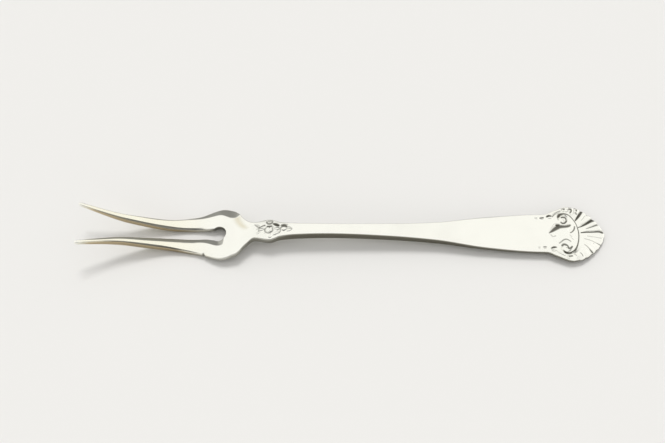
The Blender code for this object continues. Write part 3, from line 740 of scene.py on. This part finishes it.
def ground_oxide_and_shade(bm):
    """Dark oxide on the ground at the foot of raised work, most in its grooves, with painted shade on the
    foot's far-facing side.
    """
    tree = KDTree(len(marks))
    for i, (x, y, _) in enumerate(marks):
        tree.insert((x, y, 0), i)
    tree.balance()
    layer = bm.verts.layers.float["oxide_and_painted_shade"]
    bm.normal_update()
    for vert in bm.verts:
        if vert.normal.z > UPWARD:
            here = Vector((vert.co.x, vert.co.y, 0))
            foot, i, gap = tree.find(here)
            side = (here - foot).xy.normalized().dot(SHADED_SIDE)
            slope_share = float(smooth(-0.2, 0.7, side))
            depth = max(GROOVE_SHARE * marks[i][2], LEAST_OXIDE + FOOT_SHADE * slope_share)
            vert[layer] = depth * math.exp(-(gap / OXIDE_REACH) ** 2) * far_half_darkening(vert.co.y)


def shade_raised_slopes(bm):
    """Painted shade on raised work: keep its oxide mostly to the slopes facing the far side, and paint shade on
    those slopes.
    """
    layer = bm.verts.layers.float["oxide_and_painted_shade"]
    clean = bm.verts.layers.float.get("clean")
    bm.normal_update()
    for vert in bm.verts:
        side = vert.normal.xy.dot(SHADED_SIDE)
        kept = vert[layer] * (NEAR_SLOPE_SHARE + (1 - NEAR_SLOPE_SHARE) * float(smooth(-0.3, 0.3, side)))
        slopes = SLOPE_SHADE * float(smooth(*SHADED_SLOPE, side)) * (1 - vert[clean] if clean else 1)
        vert[layer] = min(1.0, kept + slopes) * far_half_darkening(vert.co.y)
    if clean:
        bm.verts.layers.float.remove(clean)


def cut_points():
    """Close points along the cut lines, each with its breadth and how dark it is."""
    points = []
    for dark, breadth, line in CUTS:
        line = np.column_stack([line, np.broadcast_to(breadth, len(line))]) * CUT_UNIT
        along = np.concatenate([[0], np.cumsum(np.linalg.norm(np.diff(line[:, :2], axis=0), axis=1))])
        places = stretch(0, along[-1], CUT_STEP)
        rows = np.stack([even_line(along, column)(places) for column in line.T], axis=1)
        points += [(*row, dark) for row in rows]
    return points


def cut_lines(bm):
    """Sink the cut lines into a surface, dark with oxide and painted shade."""
    layer = bm.verts.layers.float["oxide_and_painted_shade"]
    widest = max(breadth for x, y, breadth, dark in cuts)
    bm.normal_update()
    for vert in bm.verts:
        if vert.normal.z > UPWARD:
            depth = 0.0
            for _, i, gap in cut_tree.find_range((vert.co.x, vert.co.y, 0), widest):
                breadth, dark = cuts[i][2:]
                depth = max(depth, dark * (1 - float(smooth(*CUT_EDGE, gap / breadth))))
            vert[layer] = max(vert[layer], depth)
            vert.co.z -= CUT_DEPTH * depth


def mark(x, y, depth=0.0):
    """Note the foot of raised work, and how deep the groove beside it is."""
    x, y, depth = np.broadcast_arrays(x, y, depth)
    marks.extend(zip(x.ravel(), y.ravel(), depth.ravel()))


def both_halves(plan):
    """The near and far halves of a plate, joined along the axis."""
    whole = bmesh.new()
    for side in (1, -1):
        bm = bar_skin(*bar_rows(plan * (1, side)), closed=False)
        weld(bm)
        on_axis = [f for f in bm.faces if all(abs(vert.co.y) < WELD for vert in f.verts)]
        bmesh.ops.delete(bm, geom=on_axis, context="FACES")
        mesh = bpy.data.meshes.new("half")
        bm.to_mesh(mesh)
        bm.free()
        whole.from_mesh(mesh)
        bpy.data.meshes.remove(mesh)
    close(whole)
    return whole


def seat(x, y, height):
    """Points of raised work over their places on the face."""
    x, y, height = np.broadcast_arrays(x, y, height)
    return np.stack([x, y, face(x, y) + height], axis=-1)


def pad_rows(x, y, height):
    """Loops over raised work and back under it, just inside the ground it sits on."""
    top = seat(x, y, height)
    under = seat(x[:, [-1, 0]], y[:, [-1, 0]], -SUNK)
    return wrap(np.concatenate([top, under], axis=1))


def with_under(values):
    """Values of a pad's points, repeated for the two points under it."""
    return wrap(np.concatenate([values, values[:, [-1, 0]]], axis=1))


def scallop():
    """The ribbed shell, from its foot at the arch to the lobed rim, with a half-hidden rib at each end."""
    arch_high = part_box("scroll_arch")[1]
    arch_x = middle("volute_eye_left")[0]
    a, b = arch_high.x - arch_x + 2 * SUNK, arch_high.y + 2 * SUNK
    widest = RELIEF_RIBS * RIB_PITCH / 2
    angle = np.linspace(-widest, widest, RELIEF_RIBS * RIB_STEPS + 1)[:, None]
    dx, dy, start = np.cos(angle), np.sin(angle), X_FOCUS - arch_x
    square, linear, constant = (dx / a) ** 2 + (dy / b) ** 2, start * dx / a ** 2, (start / a) ** 2 - 1
    foot = (np.sqrt(linear ** 2 - square * constant) - linear) / square
    rim = rim_radius(angle)
    side = np.minimum(edge_line(np.minimum(X_FOCUS + rim * dx, X_CORNER)), rim * np.abs(dy))
    rim = np.where(np.abs(angle) > FAN_HALF_ANGLE, (side - SUNK) / np.maximum(np.abs(dy), 0.5), rim)
    turn = np.linspace(0, 1, RIB_RINGS + 1)[None, :]
    reach = turn - 0.06 * np.sin(2 * math.pi * turn)
    radius = foot + (rim - foot) * reach
    across = angle / RIB_PITCH
    rib = np.round(across)
    offset = 2 * (across - rib)
    outward = np.sign(offset) * np.where(rib == 0, np.sign(offset), np.sign(rib))
    groove = (np.abs(rib) + np.where(outward >= 0, 0, -1)).astype(int)
    depth = np.take(GROOVE_DEPTH, groove) * smooth(0, 0.35, reach - np.take(GROOVE_START, groove))
    depth = depth * np.where(angle < 0, NEAR_GROOVES, 1)
    crest = 1 - np.abs(offset) ** np.take(GROOVE_POWER, groove)
    crisp = np.sqrt(1 - RIM_FALL * np.clip((reach - 0.9) / 0.1, 0, 1) ** 2)
    worn = 1 - RIM_FALL * smooth(0.45, 1.0, reach)
    rim_roll = crisp + (worn - crisp) * smooth(0.05, -0.35, angle)
    ends = smooth(widest, widest - 0.8 * RIB_PITCH, np.abs(angle))
    grooved = 1 - GROOVE_CUT * depth * (1 - crest)
    height = RIB_HEIGHT * smooth(-0.02, 0.40, reach) * rim_roll * ends * grooved
    height = height - SUNK * (1 - ends)
    height[:, 0] = -SUNK
    oxide_and_painted_shade = GROOVE_OXIDE * np.clip(depth * (1 - crest) ** 1.3, 0, 1)
    x, y = X_FOCUS + radius * dx, radius * dy
    mark(x[:, 0], y[:, 0], FOOT_GROOVE)
    return skin(pad_rows(x, y, height), {"oxide_and_painted_shade": with_under(oxide_and_painted_shade)})


def arch_path():
    """The middle line of one half of the arch, from its crown into its volute."""
    arch_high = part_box("scroll_arch")[1]
    eye_x, eye_y = middle("volute_eye_right")
    rise, half = arch_high.x - ARCH_INSET - eye_x, arch_high.y - ARCH_INSET
    turn = np.linspace(0, math.pi / 2, ARCH_STEPS, endpoint=False)
    line = plan_line(eye_x + rise * np.cos(turn), half * np.sin(turn))
    share = np.linspace(0, 1, CURL_STEPS + 1)
    angle = math.pi / 2 + VOLUTE_TURN * share
    radius = (half - eye_y) + (VOLUTE_INNER - (half - eye_y)) * share
    curl = plan_line(eye_x + radius * np.cos(angle), eye_y + radius * np.sin(angle))
    return np.concatenate([line, curl])


def swept(path, width, height, groove=0.0, skirt=None):
    """A soft band along a plan path; its left side may run out in a long clean skirt."""
    tangent = np.gradient(path, axis=0)
    tangent /= np.linalg.norm(tangent, axis=1)[:, None]
    normal = np.stack([-tangent[:, 1], tangent[:, 0]], axis=1)
    across = crowded(BAND_POINTS)
    left = width / 2 if skirt is None else skirt
    reach = across * np.where(across < 0, width[:, None] / 2, left[:, None])
    x, y = path[:, :1] + normal[:, :1] * reach, path[:, 1:] + normal[:, 1:] * reach
    bulge = np.clip(1 - np.abs(across) ** 2.2, 0, 1) ** 0.8
    clean = 0 * across
    if skirt is not None:
        bulge = np.where(across < 0, bulge, (1 + np.cos(math.pi * across)) / 2)
        clean = smooth(0, 0.3, across)
    rows = pad_rows(x, y, height[:, None] * bulge - SUNK * (1 - bulge))
    oxide_and_painted_shade = 0.35 * np.abs(across) ** 6 * (1 - clean)
    mark(x[:, 0], y[:, 0], groove)
    if skirt is None:
        mark(x[:, -1], y[:, -1])
    return skin(rows, {name: with_under(np.broadcast_to(values, x.shape))
                       for name, values in (("oxide_and_painted_shade", oxide_and_painted_shade), ("clean", clean))})


def scroll():
    half = arch_path()
    path = np.concatenate([half[:0:-1] * (1, -1), half])
    steps = np.abs(np.arange(len(path)) - len(half) + 1)
    from_crown = np.minimum(steps / ARCH_STEPS, 1) + np.maximum(steps - ARCH_STEPS, 0) / CURL_STEPS
    curled = np.clip(from_crown - 1, 0, 1)
    taper = np.sqrt(1 - 0.9 * smooth(0.8, 1.0, curled))
    skirt = BAND_SKIRT + (BAND_END_SKIRT - BAND_SKIRT) * smooth(0.3, 1.1, from_crown)
    return swept(path, (BAND_WIDTH + (BAND_END_WIDTH - BAND_WIDTH) * curled) * taper,
                 BAND_HEIGHT * (1 - 0.2 * curled) * taper, 1.0, skirt * taper)


def button(centre, outline, height, rings=9, sides=40, relief=None, groove=0.0, undarkened=False):
    """A soft raised shape round a centre; relief, if given, shapes its top; an undarkened one has no dark ring
    and no painted slope shade.
    """
    angle = np.linspace(0, 2 * math.pi, sides + 1)[:, None]
    share = np.sin(np.linspace(0, math.pi / 2, rings + 1))[None, :]
    dx, dy = outline(angle)
    x, y = centre[0] + dx * share, centre[1] + dy * share
    dome = np.clip(1 - share ** 2.6, 0, 1) ** 0.7 if relief is None else relief(share, angle)
    rise = height * dome - SUNK * share ** 8
    top, foot = seat(x, y, rise), seat(x[:, -1:], y[:, -1:], -2 * SUNK)
    oxide_and_painted_shade = np.broadcast_to(0 * share if undarkened else 0.4 * share ** 10, x.shape)
    if not undarkened:
        mark(x[:-1, -1], y[:-1, -1], groove)
    return skin(np.concatenate([top, foot], axis=1),
                {"oxide_and_painted_shade": np.concatenate([oxide_and_painted_shade, oxide_and_painted_shade[:, -1:]], axis=1), "clean": 1.0 if undarkened else 0.0})


def oval(length, width):
    return lambda angle: (length / 2 * np.cos(angle), width / 2 * np.sin(angle))


def tongue(x_from, x_to, y_middle, half_width, height, oxide_and_painted_shade, turn=0.0, steps=48, points=25):
    """Raised work with a point at each end: half-width along it, height, and oxide with painted shade over it.
    """
    share = np.linspace(0, 1, steps + 1)[:, None]
    across = crowded(points)
    x0 = x_from + (x_to - x_from) * share + 0 * across
    y0 = half_width(share) * across
    middle = (x_from + x_to) / 2
    x = middle + (x0 - middle) * math.cos(turn) - y0 * math.sin(turn)
    y = y_middle + (x0 - middle) * math.sin(turn) + y0 * math.cos(turn)
    rise = height(share, across) - SUNK * np.abs(across) ** 8
    mark(x[:, 0], y[:, 0])
    mark(x[:, -1], y[:, -1])
    return skin(pad_rows(x, y, rise), {"oxide_and_painted_shade": with_under(np.clip(oxide_and_painted_shade(share, across) + 0 * x, 0, 1))})


def add_node(tree, kind, inputs, output=0, **settings):
    """A shader node; each of its inputs is a value or another node's output."""
    node = tree.nodes.new("ShaderNode" + kind)
    for name, value in settings.items():
        setattr(node, name, value)
    for socket, value in inputs.items():
        if isinstance(value, bpy.types.NodeSocket):
            tree.links.new(value, node.inputs[socket])
        else:
            node.inputs[socket].default_value = value
    return node.outputs[output]


def add_range(tree, value, low, high, least, most, **settings):
    limits = {"From Min": low, "From Max": high, "To Min": least, "To Max": most}
    return add_node(tree, "MapRange", {"Value": value, **limits}, "Result", **settings)


def silver(name, roughness, dark):
    """Polished silver: fine lengthwise scratches, faint clouds, painted shade and golden painted reflection on
    its edges, and dark recesses with painted shade.
    """
    material = bpy.data.materials.new(name)
    material.use_nodes = True
    tree = material.node_tree

    def value_of(attribute):
        return add_node(tree, "Attribute", {}, "Fac", attribute_name=attribute)

    def blend(amount, first, second):
        return add_node(tree, "Mix", {"Factor": amount, "A": first, "B": second}, "Result", data_type="RGBA")

    def noise(vector, scale, detail):
        return add_node(tree, "TexNoise", {"Vector": vector, "Scale": scale, "Detail": detail}, "Fac")

    def math_of(operation, first, second):
        return add_node(tree, "Math", {0: first, 1: second}, operation=operation)

    place = add_node(tree, "TexCoord", {}, "Object")
    scratch = noise(add_node(tree, "Mapping", {"Vector": place, "Scale": SCRATCH_GRAIN}), 1.0, 3.0)
    warm, oxide_and_painted_shade = value_of("warmth"), value_of("oxide_and_painted_shade")
    haze = add_range(tree, noise(place, HAZE_SCALE, 4.0), *HAZE_RANGE, 0.0, HAZE_MOST)
    # The larger of the faint clouds and the painted shade and reflection
    tint_share = math_of("MAXIMUM", haze, value_of("painted_shade_and_reflection"))
    tone = blend(tint_share, blend(warm, *POLISHED), blend(warm, *PAINTED_SHADE_AND_REFLECTION_COLOURS))
    gloss = add_range(tree, scratch, *SCRATCH_RANGE, *(roughness + more for more in SCRATCH_GLOSS))
    bump = add_node(tree, "Bump", {"Height": scratch, "Strength": SCRATCH_STRENGTH, "Distance": SCRATCH_DEPTH})
    shader = tree.nodes["Principled BSDF"]
    shader.inputs["Metallic"].default_value = 1.0
    tree.links.new(blend(oxide_and_painted_shade, tone, dark), shader.inputs["Base Color"])
    tree.links.new(math_of("ADD", gloss, math_of("MULTIPLY", oxide_and_painted_shade, OXIDE_DULLING)), shader.inputs["Roughness"])
    tree.links.new(bump, shader.inputs["Normal"])
    return material


def studio():
    """A plain pale floor, a soft bright sky that dims towards the horizon, and a soft light from behind."""
    bm = bmesh.new()
    bmesh.ops.create_grid(bm, x_segments=1, y_segments=1, size=FLOOR_SIZE)
    pale = bpy.data.materials.new("pale_floor")
    pale.use_nodes = True
    shader = pale.node_tree.nodes["Principled BSDF"]
    shader.inputs["Base Color"].default_value = FLOOR_COLOUR
    shader.inputs["Roughness"].default_value = FLOOR_ROUGHNESS
    floor = add_object("floor", bm, pale)

    world = bpy.data.worlds.new("studio")
    bpy.context.scene.world = world
    world.use_nodes = True
    tree = world.node_tree

    def strength(value, limits):
        return add_range(tree, value, *limits, interpolation_type="SMOOTHSTEP")

    way = add_node(tree, "TexCoord", {}, "Generated")
    x, y = (add_node(tree, "SeparateXYZ", {"Vector": way}, axis) for axis in "XY")
    low_sky = strength(add_node(tree, "Math", {0: x}, operation="ABSOLUTE"), SKY_SIDES)
    for limits in (SKY_DEPTH, SKY_FRONT):
        low_sky = add_node(tree, "Math", {0: low_sky, 1: strength(y, limits)}, operation="ADD")
    lean = add_node(tree, "VectorMath", {0: way, 1: SKY_LEAN}, "Value", operation="DOT_PRODUCT")
    whole = add_node(tree, "Mix", {"Factor": strength(lean, SKY_TOP), "A": low_sky, "B": 1.0}, "Result")
    sky = tree.nodes["Background"]
    sky.inputs["Color"].default_value = SKY_COLOUR
    tree.links.new(whole, sky.inputs["Strength"])

    lamp = bpy.data.lights.new("back_light", "SUN")
    lamp.energy = SUN_STRENGTH
    lamp.angle = SUN_ANGLE
    light = bpy.data.objects.new("back_light", lamp)
    light.rotation_euler = SUN_WAY.to_track_quat("-Z", "Y").to_euler()
    light.visible_glossy = False
    bpy.context.scene.collection.objects.link(light)


def camera():
    lens = bpy.data.cameras.new("camera")
    lens.lens = VIEW_LENS
    lens.sensor_width = VIEW_SENSOR
    lens.sensor_fit = "HORIZONTAL"
    lens.clip_start = CLIP_START
    eye = bpy.data.objects.new("camera", lens)
    away = Vector((math.sin(VIEW_YAW) * math.cos(VIEW_ELEVATION),
                   -math.cos(VIEW_YAW) * math.cos(VIEW_ELEVATION), math.sin(VIEW_ELEVATION)))
    eye.location = VIEW_TARGET + away * VIEW_DISTANCE
    eye.rotation_euler = (math.pi / 2 - VIEW_ELEVATION, 0, VIEW_YAW)
    bpy.context.scene.collection.objects.link(eye)
    bpy.context.scene.camera = eye


cuts = cut_points()
cut_tree = KDTree(len(cuts))
for index, (x, y, breadth, dark) in enumerate(cuts):
    cut_tree.insert((x, y, 0), index)
cut_tree.balance()

# Each finish: roughness, and the colour of its recesses
handle_silver = silver("handle_silver", 0.16, (0.10, 0.095, 0.075, 1))
tine_silver = silver("tine_silver", 0.17, (0.10, 0.09, 0.07, 1))
relief_silver = silver("relief_silver", 0.17, (0.085, 0.08, 0.06, 1))


def add_relief(name, bm, *nodes):
    shade_raised_slopes(bm)
    cut_lines(bm)
    add_piece(name, bm, relief_silver, "relief_silver", *nodes)


def drop_leaf():
    """The broad leaf between the volutes: a spear point, a flat crown, steep sides and two scoops."""
    low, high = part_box("leaf_drop")
    length = high.x - low.x

    def half_width(share):
        opening = np.sin(math.pi / 2 * np.clip(share / 0.33, 0, 1)) ** 1.1
        waist = 1 - 0.06 * smooth(0.33, 0.48, share)
        closing = np.sqrt(np.clip(1 - np.clip((share - 0.78) / 0.22, 0, 1) ** 3, 0, 1))
        return LEAF_HALF_WIDTH * opening * waist * closing

    def crown(share):
        return 0.46 - 0.08 * smooth(0.15, 0.33, share) + 0.27 * smooth(0.36, 0.55, share)

    def height(share, across):
        roof = 1 - smooth(np.where(across > 0, crown(share), 0.0), 1.0, np.abs(across))
        point = 1 - 0.35 * (1 - smooth(0.1, 0.5, share)) * np.abs(across)
        rise = LEAF_HEIGHT * smooth(-0.05, 0.5, share) * (1 - smooth(0.40, 1.0, share))
        x, y = length * share, half_width(share) * np.abs(across)
        from_scoop_x, from_scoop_y = x - (length - SCOOP_FROM_FOOT), y - SCOOP_FROM_AXIS
        ring = np.hypot(from_scoop_x, from_scoop_y)
        side = smooth(-0.2, 0.6, (from_scoop_x - 0.6 * from_scoop_y) / SCOOP_RADIUS)
        scoop = SCOOP_DEPTH * (1 - smooth(0.35, 1.0, ring / SCOOP_RADIUS)) * side
        return rise * roof * point - scoop

    # Painted shade along the leaf's far edge only
    def oxide_and_painted_shade(share, across):
        return 0.3 * smooth(0.6, 1.0, across) * smooth(0.0, 0.1, share)

    return tongue(low.x, high.x, 0.0, half_width, height, oxide_and_painted_shade, steps=140, points=95)


def dress_shell():
    add_relief("scallop_shell", scallop(), "shell_fan")
    add_relief("arch_and_volutes", scroll(), "scroll_arch")
    add_relief("drop_leaf", drop_leaf(), "leaf_drop")
    reed = even_line(*np.array(REED).T * MM)
    reed_x = np.linspace(REED[0][0], REED[-1][0], TRIM_STEPS) * MM
    turn = np.linspace(*CURL_TURN, TRIM_STEPS)
    curl_x, curl_y = (CURL[0] + CURL[2] * np.cos(turn)) * MM, (CURL[1] + CURL[2] * np.sin(turn)) * MM
    taper = np.sin(math.pi * np.linspace(0.06, 0.97, TRIM_STEPS)) ** 0.5
    blunt = taper ** 0.5
    for word, side in SIDES:
        eye = "volute_eye_" + word
        size = node_size(eye).x * EYE_SCALE
        add_relief("volute_button_" + word, button(middle(eye), oval(size, size), EYE_HEIGHT, undarkened=True), eye)
        for number in (1, 2, 3):
            bead = f"bead_{word}_{number}"
            size = node_size(bead).x
            drop = button(middle(bead), oval(size * BEAD_STRETCH, size), size * BEAD_HEIGHT, undarkened=True)
            add_relief(f"edge_{bead}", drop, bead)
        strand = swept(plan_line(reed_x, side * reed(reed_x)), REED_WIDTH * taper, TRIM_HEIGHT * taper)
        add_relief(f"shoulder_reed_{word}", strand)
        curl = swept(plan_line(curl_x, side * curl_y), CURL_WIDTH * blunt, TRIM_HEIGHT * blunt)
        add_relief(f"shoulder_curl_{word}", curl)


def dress_collar():
    def petals(share, angle):
        boss = np.clip(1 - (share / 0.40) ** 2, 0, 1) ** 0.6
        ring = np.clip(1 - share ** 4, 0, 1) * smooth(0.32, 0.5, share)
        return np.maximum(0.9 * boss, ring * (0.70 + 0.20 * np.abs(np.cos(2.5 * angle))))

    for node, share, height, groove, undarkened in FLORETS:
        size = node_size(node).y * share
        flower = button(middle(node), oval(size, size), height * MM, FLORET_RINGS, FLORET_SIDES, petals,
                        groove, undarkened)
        add_relief(node + "_petals", flower, node)

    def leaf_width(most):
        return lambda share: most * np.sin(math.pi * share ** 0.8) ** 0.9

    def ridge(height):
        return lambda share, across: height * np.sin(math.pi * share) ** 0.5 * (1 - np.abs(across) ** 1.4)

    def rim_oxide(share, across):
        return 0.4 * smooth(0.7, 1.0, np.abs(across))

    # The near neck leaf gets no dark rim: a painted lighter near side
    def unshaded_rim(share, across):
        return 0 * share * across

    for node, name, turn, height in LEAVES:
        low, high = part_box(node)
        leaf = tongue(low.x, high.x, (low.y + high.y) / 2, leaf_width((high.y - low.y) / 2),
                      ridge(height * MM), rim_oxide, math.radians(turn))
        add_relief(name, leaf, node)
    bud_low, bud_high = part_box("sprig")
    for word, side in SIDES:
        leaf = tongue(*(bud_low.x + end for end in NECK_LEAF_ENDS), side * NECK_LEAF_OUT,
                      leaf_width(NECK_LEAF_HALF_WIDTH), ridge(NECK_HEIGHT),
                      rim_oxide if side > 0 else unshaded_rim, side * NECK_LEAF_TURN)
        add_relief(f"neck_leaf_{word}", leaf)
        bead = button((bud_high.x - NECK_BEAD_INSET, side * NECK_BEAD_OUT), oval(*NECK_BEAD_SIZE), NECK_HEIGHT,
                      undarkened=True)
        add_relief(f"neck_bead_{word}", bead)
    low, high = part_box("bell_drop")

    def bell_width(share):
        first = np.exp(-((share - 0.17) / 0.16) ** 2)
        second = np.exp(-((share - 0.55) / 0.22) ** 2)
        ends = np.sqrt(np.clip(np.sin(math.pi * share), 0, 1))
        return (high.y - low.y) / 2 * BELL_SCALE * np.maximum(np.maximum(first, second), 0.08) * ends

    def bell_height(share, across):
        waist = 1 - 0.7 * np.exp(-((share - BELL_WAIST) / 0.05) ** 2)
        return BELL_HEIGHT * waist * np.sin(math.pi * share) ** 0.4 * (1 - np.abs(across) ** 2.0)

    def bell_oxide(share, across):
        return 0.7 * smooth(0.7, 1.0, np.abs(across)) + 0.8 * np.exp(-((share - BELL_WAIST) / 0.04) ** 2)

    bell = tongue(low.x, high.x, 0.0, bell_width, bell_height, bell_oxide, steps=80)
    add_relief("pendant_bell", bell, "bell_drop")


def paint_facet_shade(bm):
    """Grey painted shade on the facets' upward faces, fading off the near shoulder."""
    layer = bm.verts.layers.float["oxide_and_painted_shade"]
    bm.normal_update()
    x, y = np.array([vert.co.xy for vert in bm.verts]).T
    near_shoulder = (y < 0) & (outer_gap(x, y) < inner_gap(x, y))
    kept = np.where(near_shoulder, smooth(*NEAR_SHOULDER_END, x), 1)
    for vert, amount in zip(bm.verts, FACET_SHADE * kept * smooth(*FACET_SHADE_DROP, facets(x, y))):
        if vert.normal.z > FACET_UPWARD:
            vert[layer] = amount


def wear_and_paint_head(bm):
    """A slight bend below the shoulders, painted shade in the keyhole and the nick, a painted warm reflection,
    and a nick.
    """
    x, y, z = np.array([vert.co for vert in bm.verts]).T
    upward = np.array([vert.normal.z for vert in bm.verts])
    in_keyhole = smooth(*KEYHOLE_WALL, inner_gap(x, y)) * smooth(*KEYHOLE_START, x)
    bank = slot_bank(x, y)
    y, z = y + bank, z - SLOT_FACET_SLOPE * bank * (upward > 0)
    y = y - HEAD_LEAN * smooth(*LEAN_START, x) * smooth(*LEAN_END, x)
    # A painted warm reflection: a yellow patch along a line over the upward face
    reflection_path = np.array(WARM_REFLECTION[::-1]) * MM
    gap = x - even_line(reflection_path[:, 1], reflection_path[:, 0])(np.clip(y, reflection_path[0, 1], reflection_path[-1, 1]))
    ends = smooth(*WARM_REFLECTION_START, y - reflection_path[0, 1]) * (1 - smooth(*WARM_REFLECTION_END, y - reflection_path[-1, 1]))
    tint_share = np.where(upward > WARM_REFLECTION_UPWARD, np.exp(-(gap / WARM_REFLECTION_BREADTH) ** 2) * ends, 0)
    nick_y = -float(edge_line(NICK * MM))
    notch = np.clip(1 - np.hypot((x - NICK * MM) / NICK_LENGTH, (y - nick_y) / NICK_REACH), 0, 1)
    y = y + NICK_DEPTH * (1 - (1 - notch) ** 2) ** 1.5
    nick_and_keyhole_shade = np.maximum(NICK_SHADE * notch, KEYHOLE_SHADE * in_keyhole)
    for name, amount in (("painted_shade_and_reflection", WARM_REFLECTION_SHARE * tint_share), ("warmth", WARM_REFLECTION_WARMTH * tint_share),
                         ("oxide_and_painted_shade", nick_and_keyhole_shade)):
        layer = bm.verts.layers.float[name]
        for vert, value in zip(bm.verts, amount):
            vert[layer] = max(vert[layer], value)
    for vert, place in zip(bm.verts, np.stack([x, y, z], axis=1)):
        vert.co = place


def dress_body():
    for side, node, name in ((-1, "left_tine", "left_prong"), (1, "right_tine", "right_prong")):
        bm = tine(side)
        paint_facet_shade(bm)
        add_piece(name, bm, tine_silver, "warm_silver", node)
    bm = both_halves(head_plan())
    paint_facet_shade(bm)
    wear_and_paint_head(bm)
    add_piece("keyhole_head", bm, handle_silver, "polished_silver", "fork_head")
    for node, name, x_from, x_to in (("neck_collar", "flowered_collar", X_NECK, X_STEM),
                                     ("stem", "slim_stem", X_STEM, X_BLADE),
                                     ("handle_blade", "plain_blade", X_BLADE, X_TERMINAL)):
        fine = node == "neck_collar"
        x = stretch(x_from, x_to, FINE_STEP if fine else STEP)
        edge, rounding = edge_line(x), rounding_at(FALL, x)
        plan = strip(plan_line(x, -edge), plan_line(x, edge), WIDE_STEPS if fine else FACE_STEPS,
                     rounding, rounding)
        bm = bar_skin(*bar_rows(plan))
        if fine:
            ground_oxide_and_shade(bm)
            cut_lines(bm)
        add_piece(name, bm, handle_silver, "polished_silver", node)
    bm = both_halves(terminal_plan())
    ground_oxide_and_shade(bm)
    cut_lines(bm)
    add_piece("flared_end", bm, handle_silver, "polished_silver", "terminal_plate")


dress_shell()
dress_collar()
dress_body()
studio()
camera()
bpy.context.scene.view_settings.view_transform = "Standard"
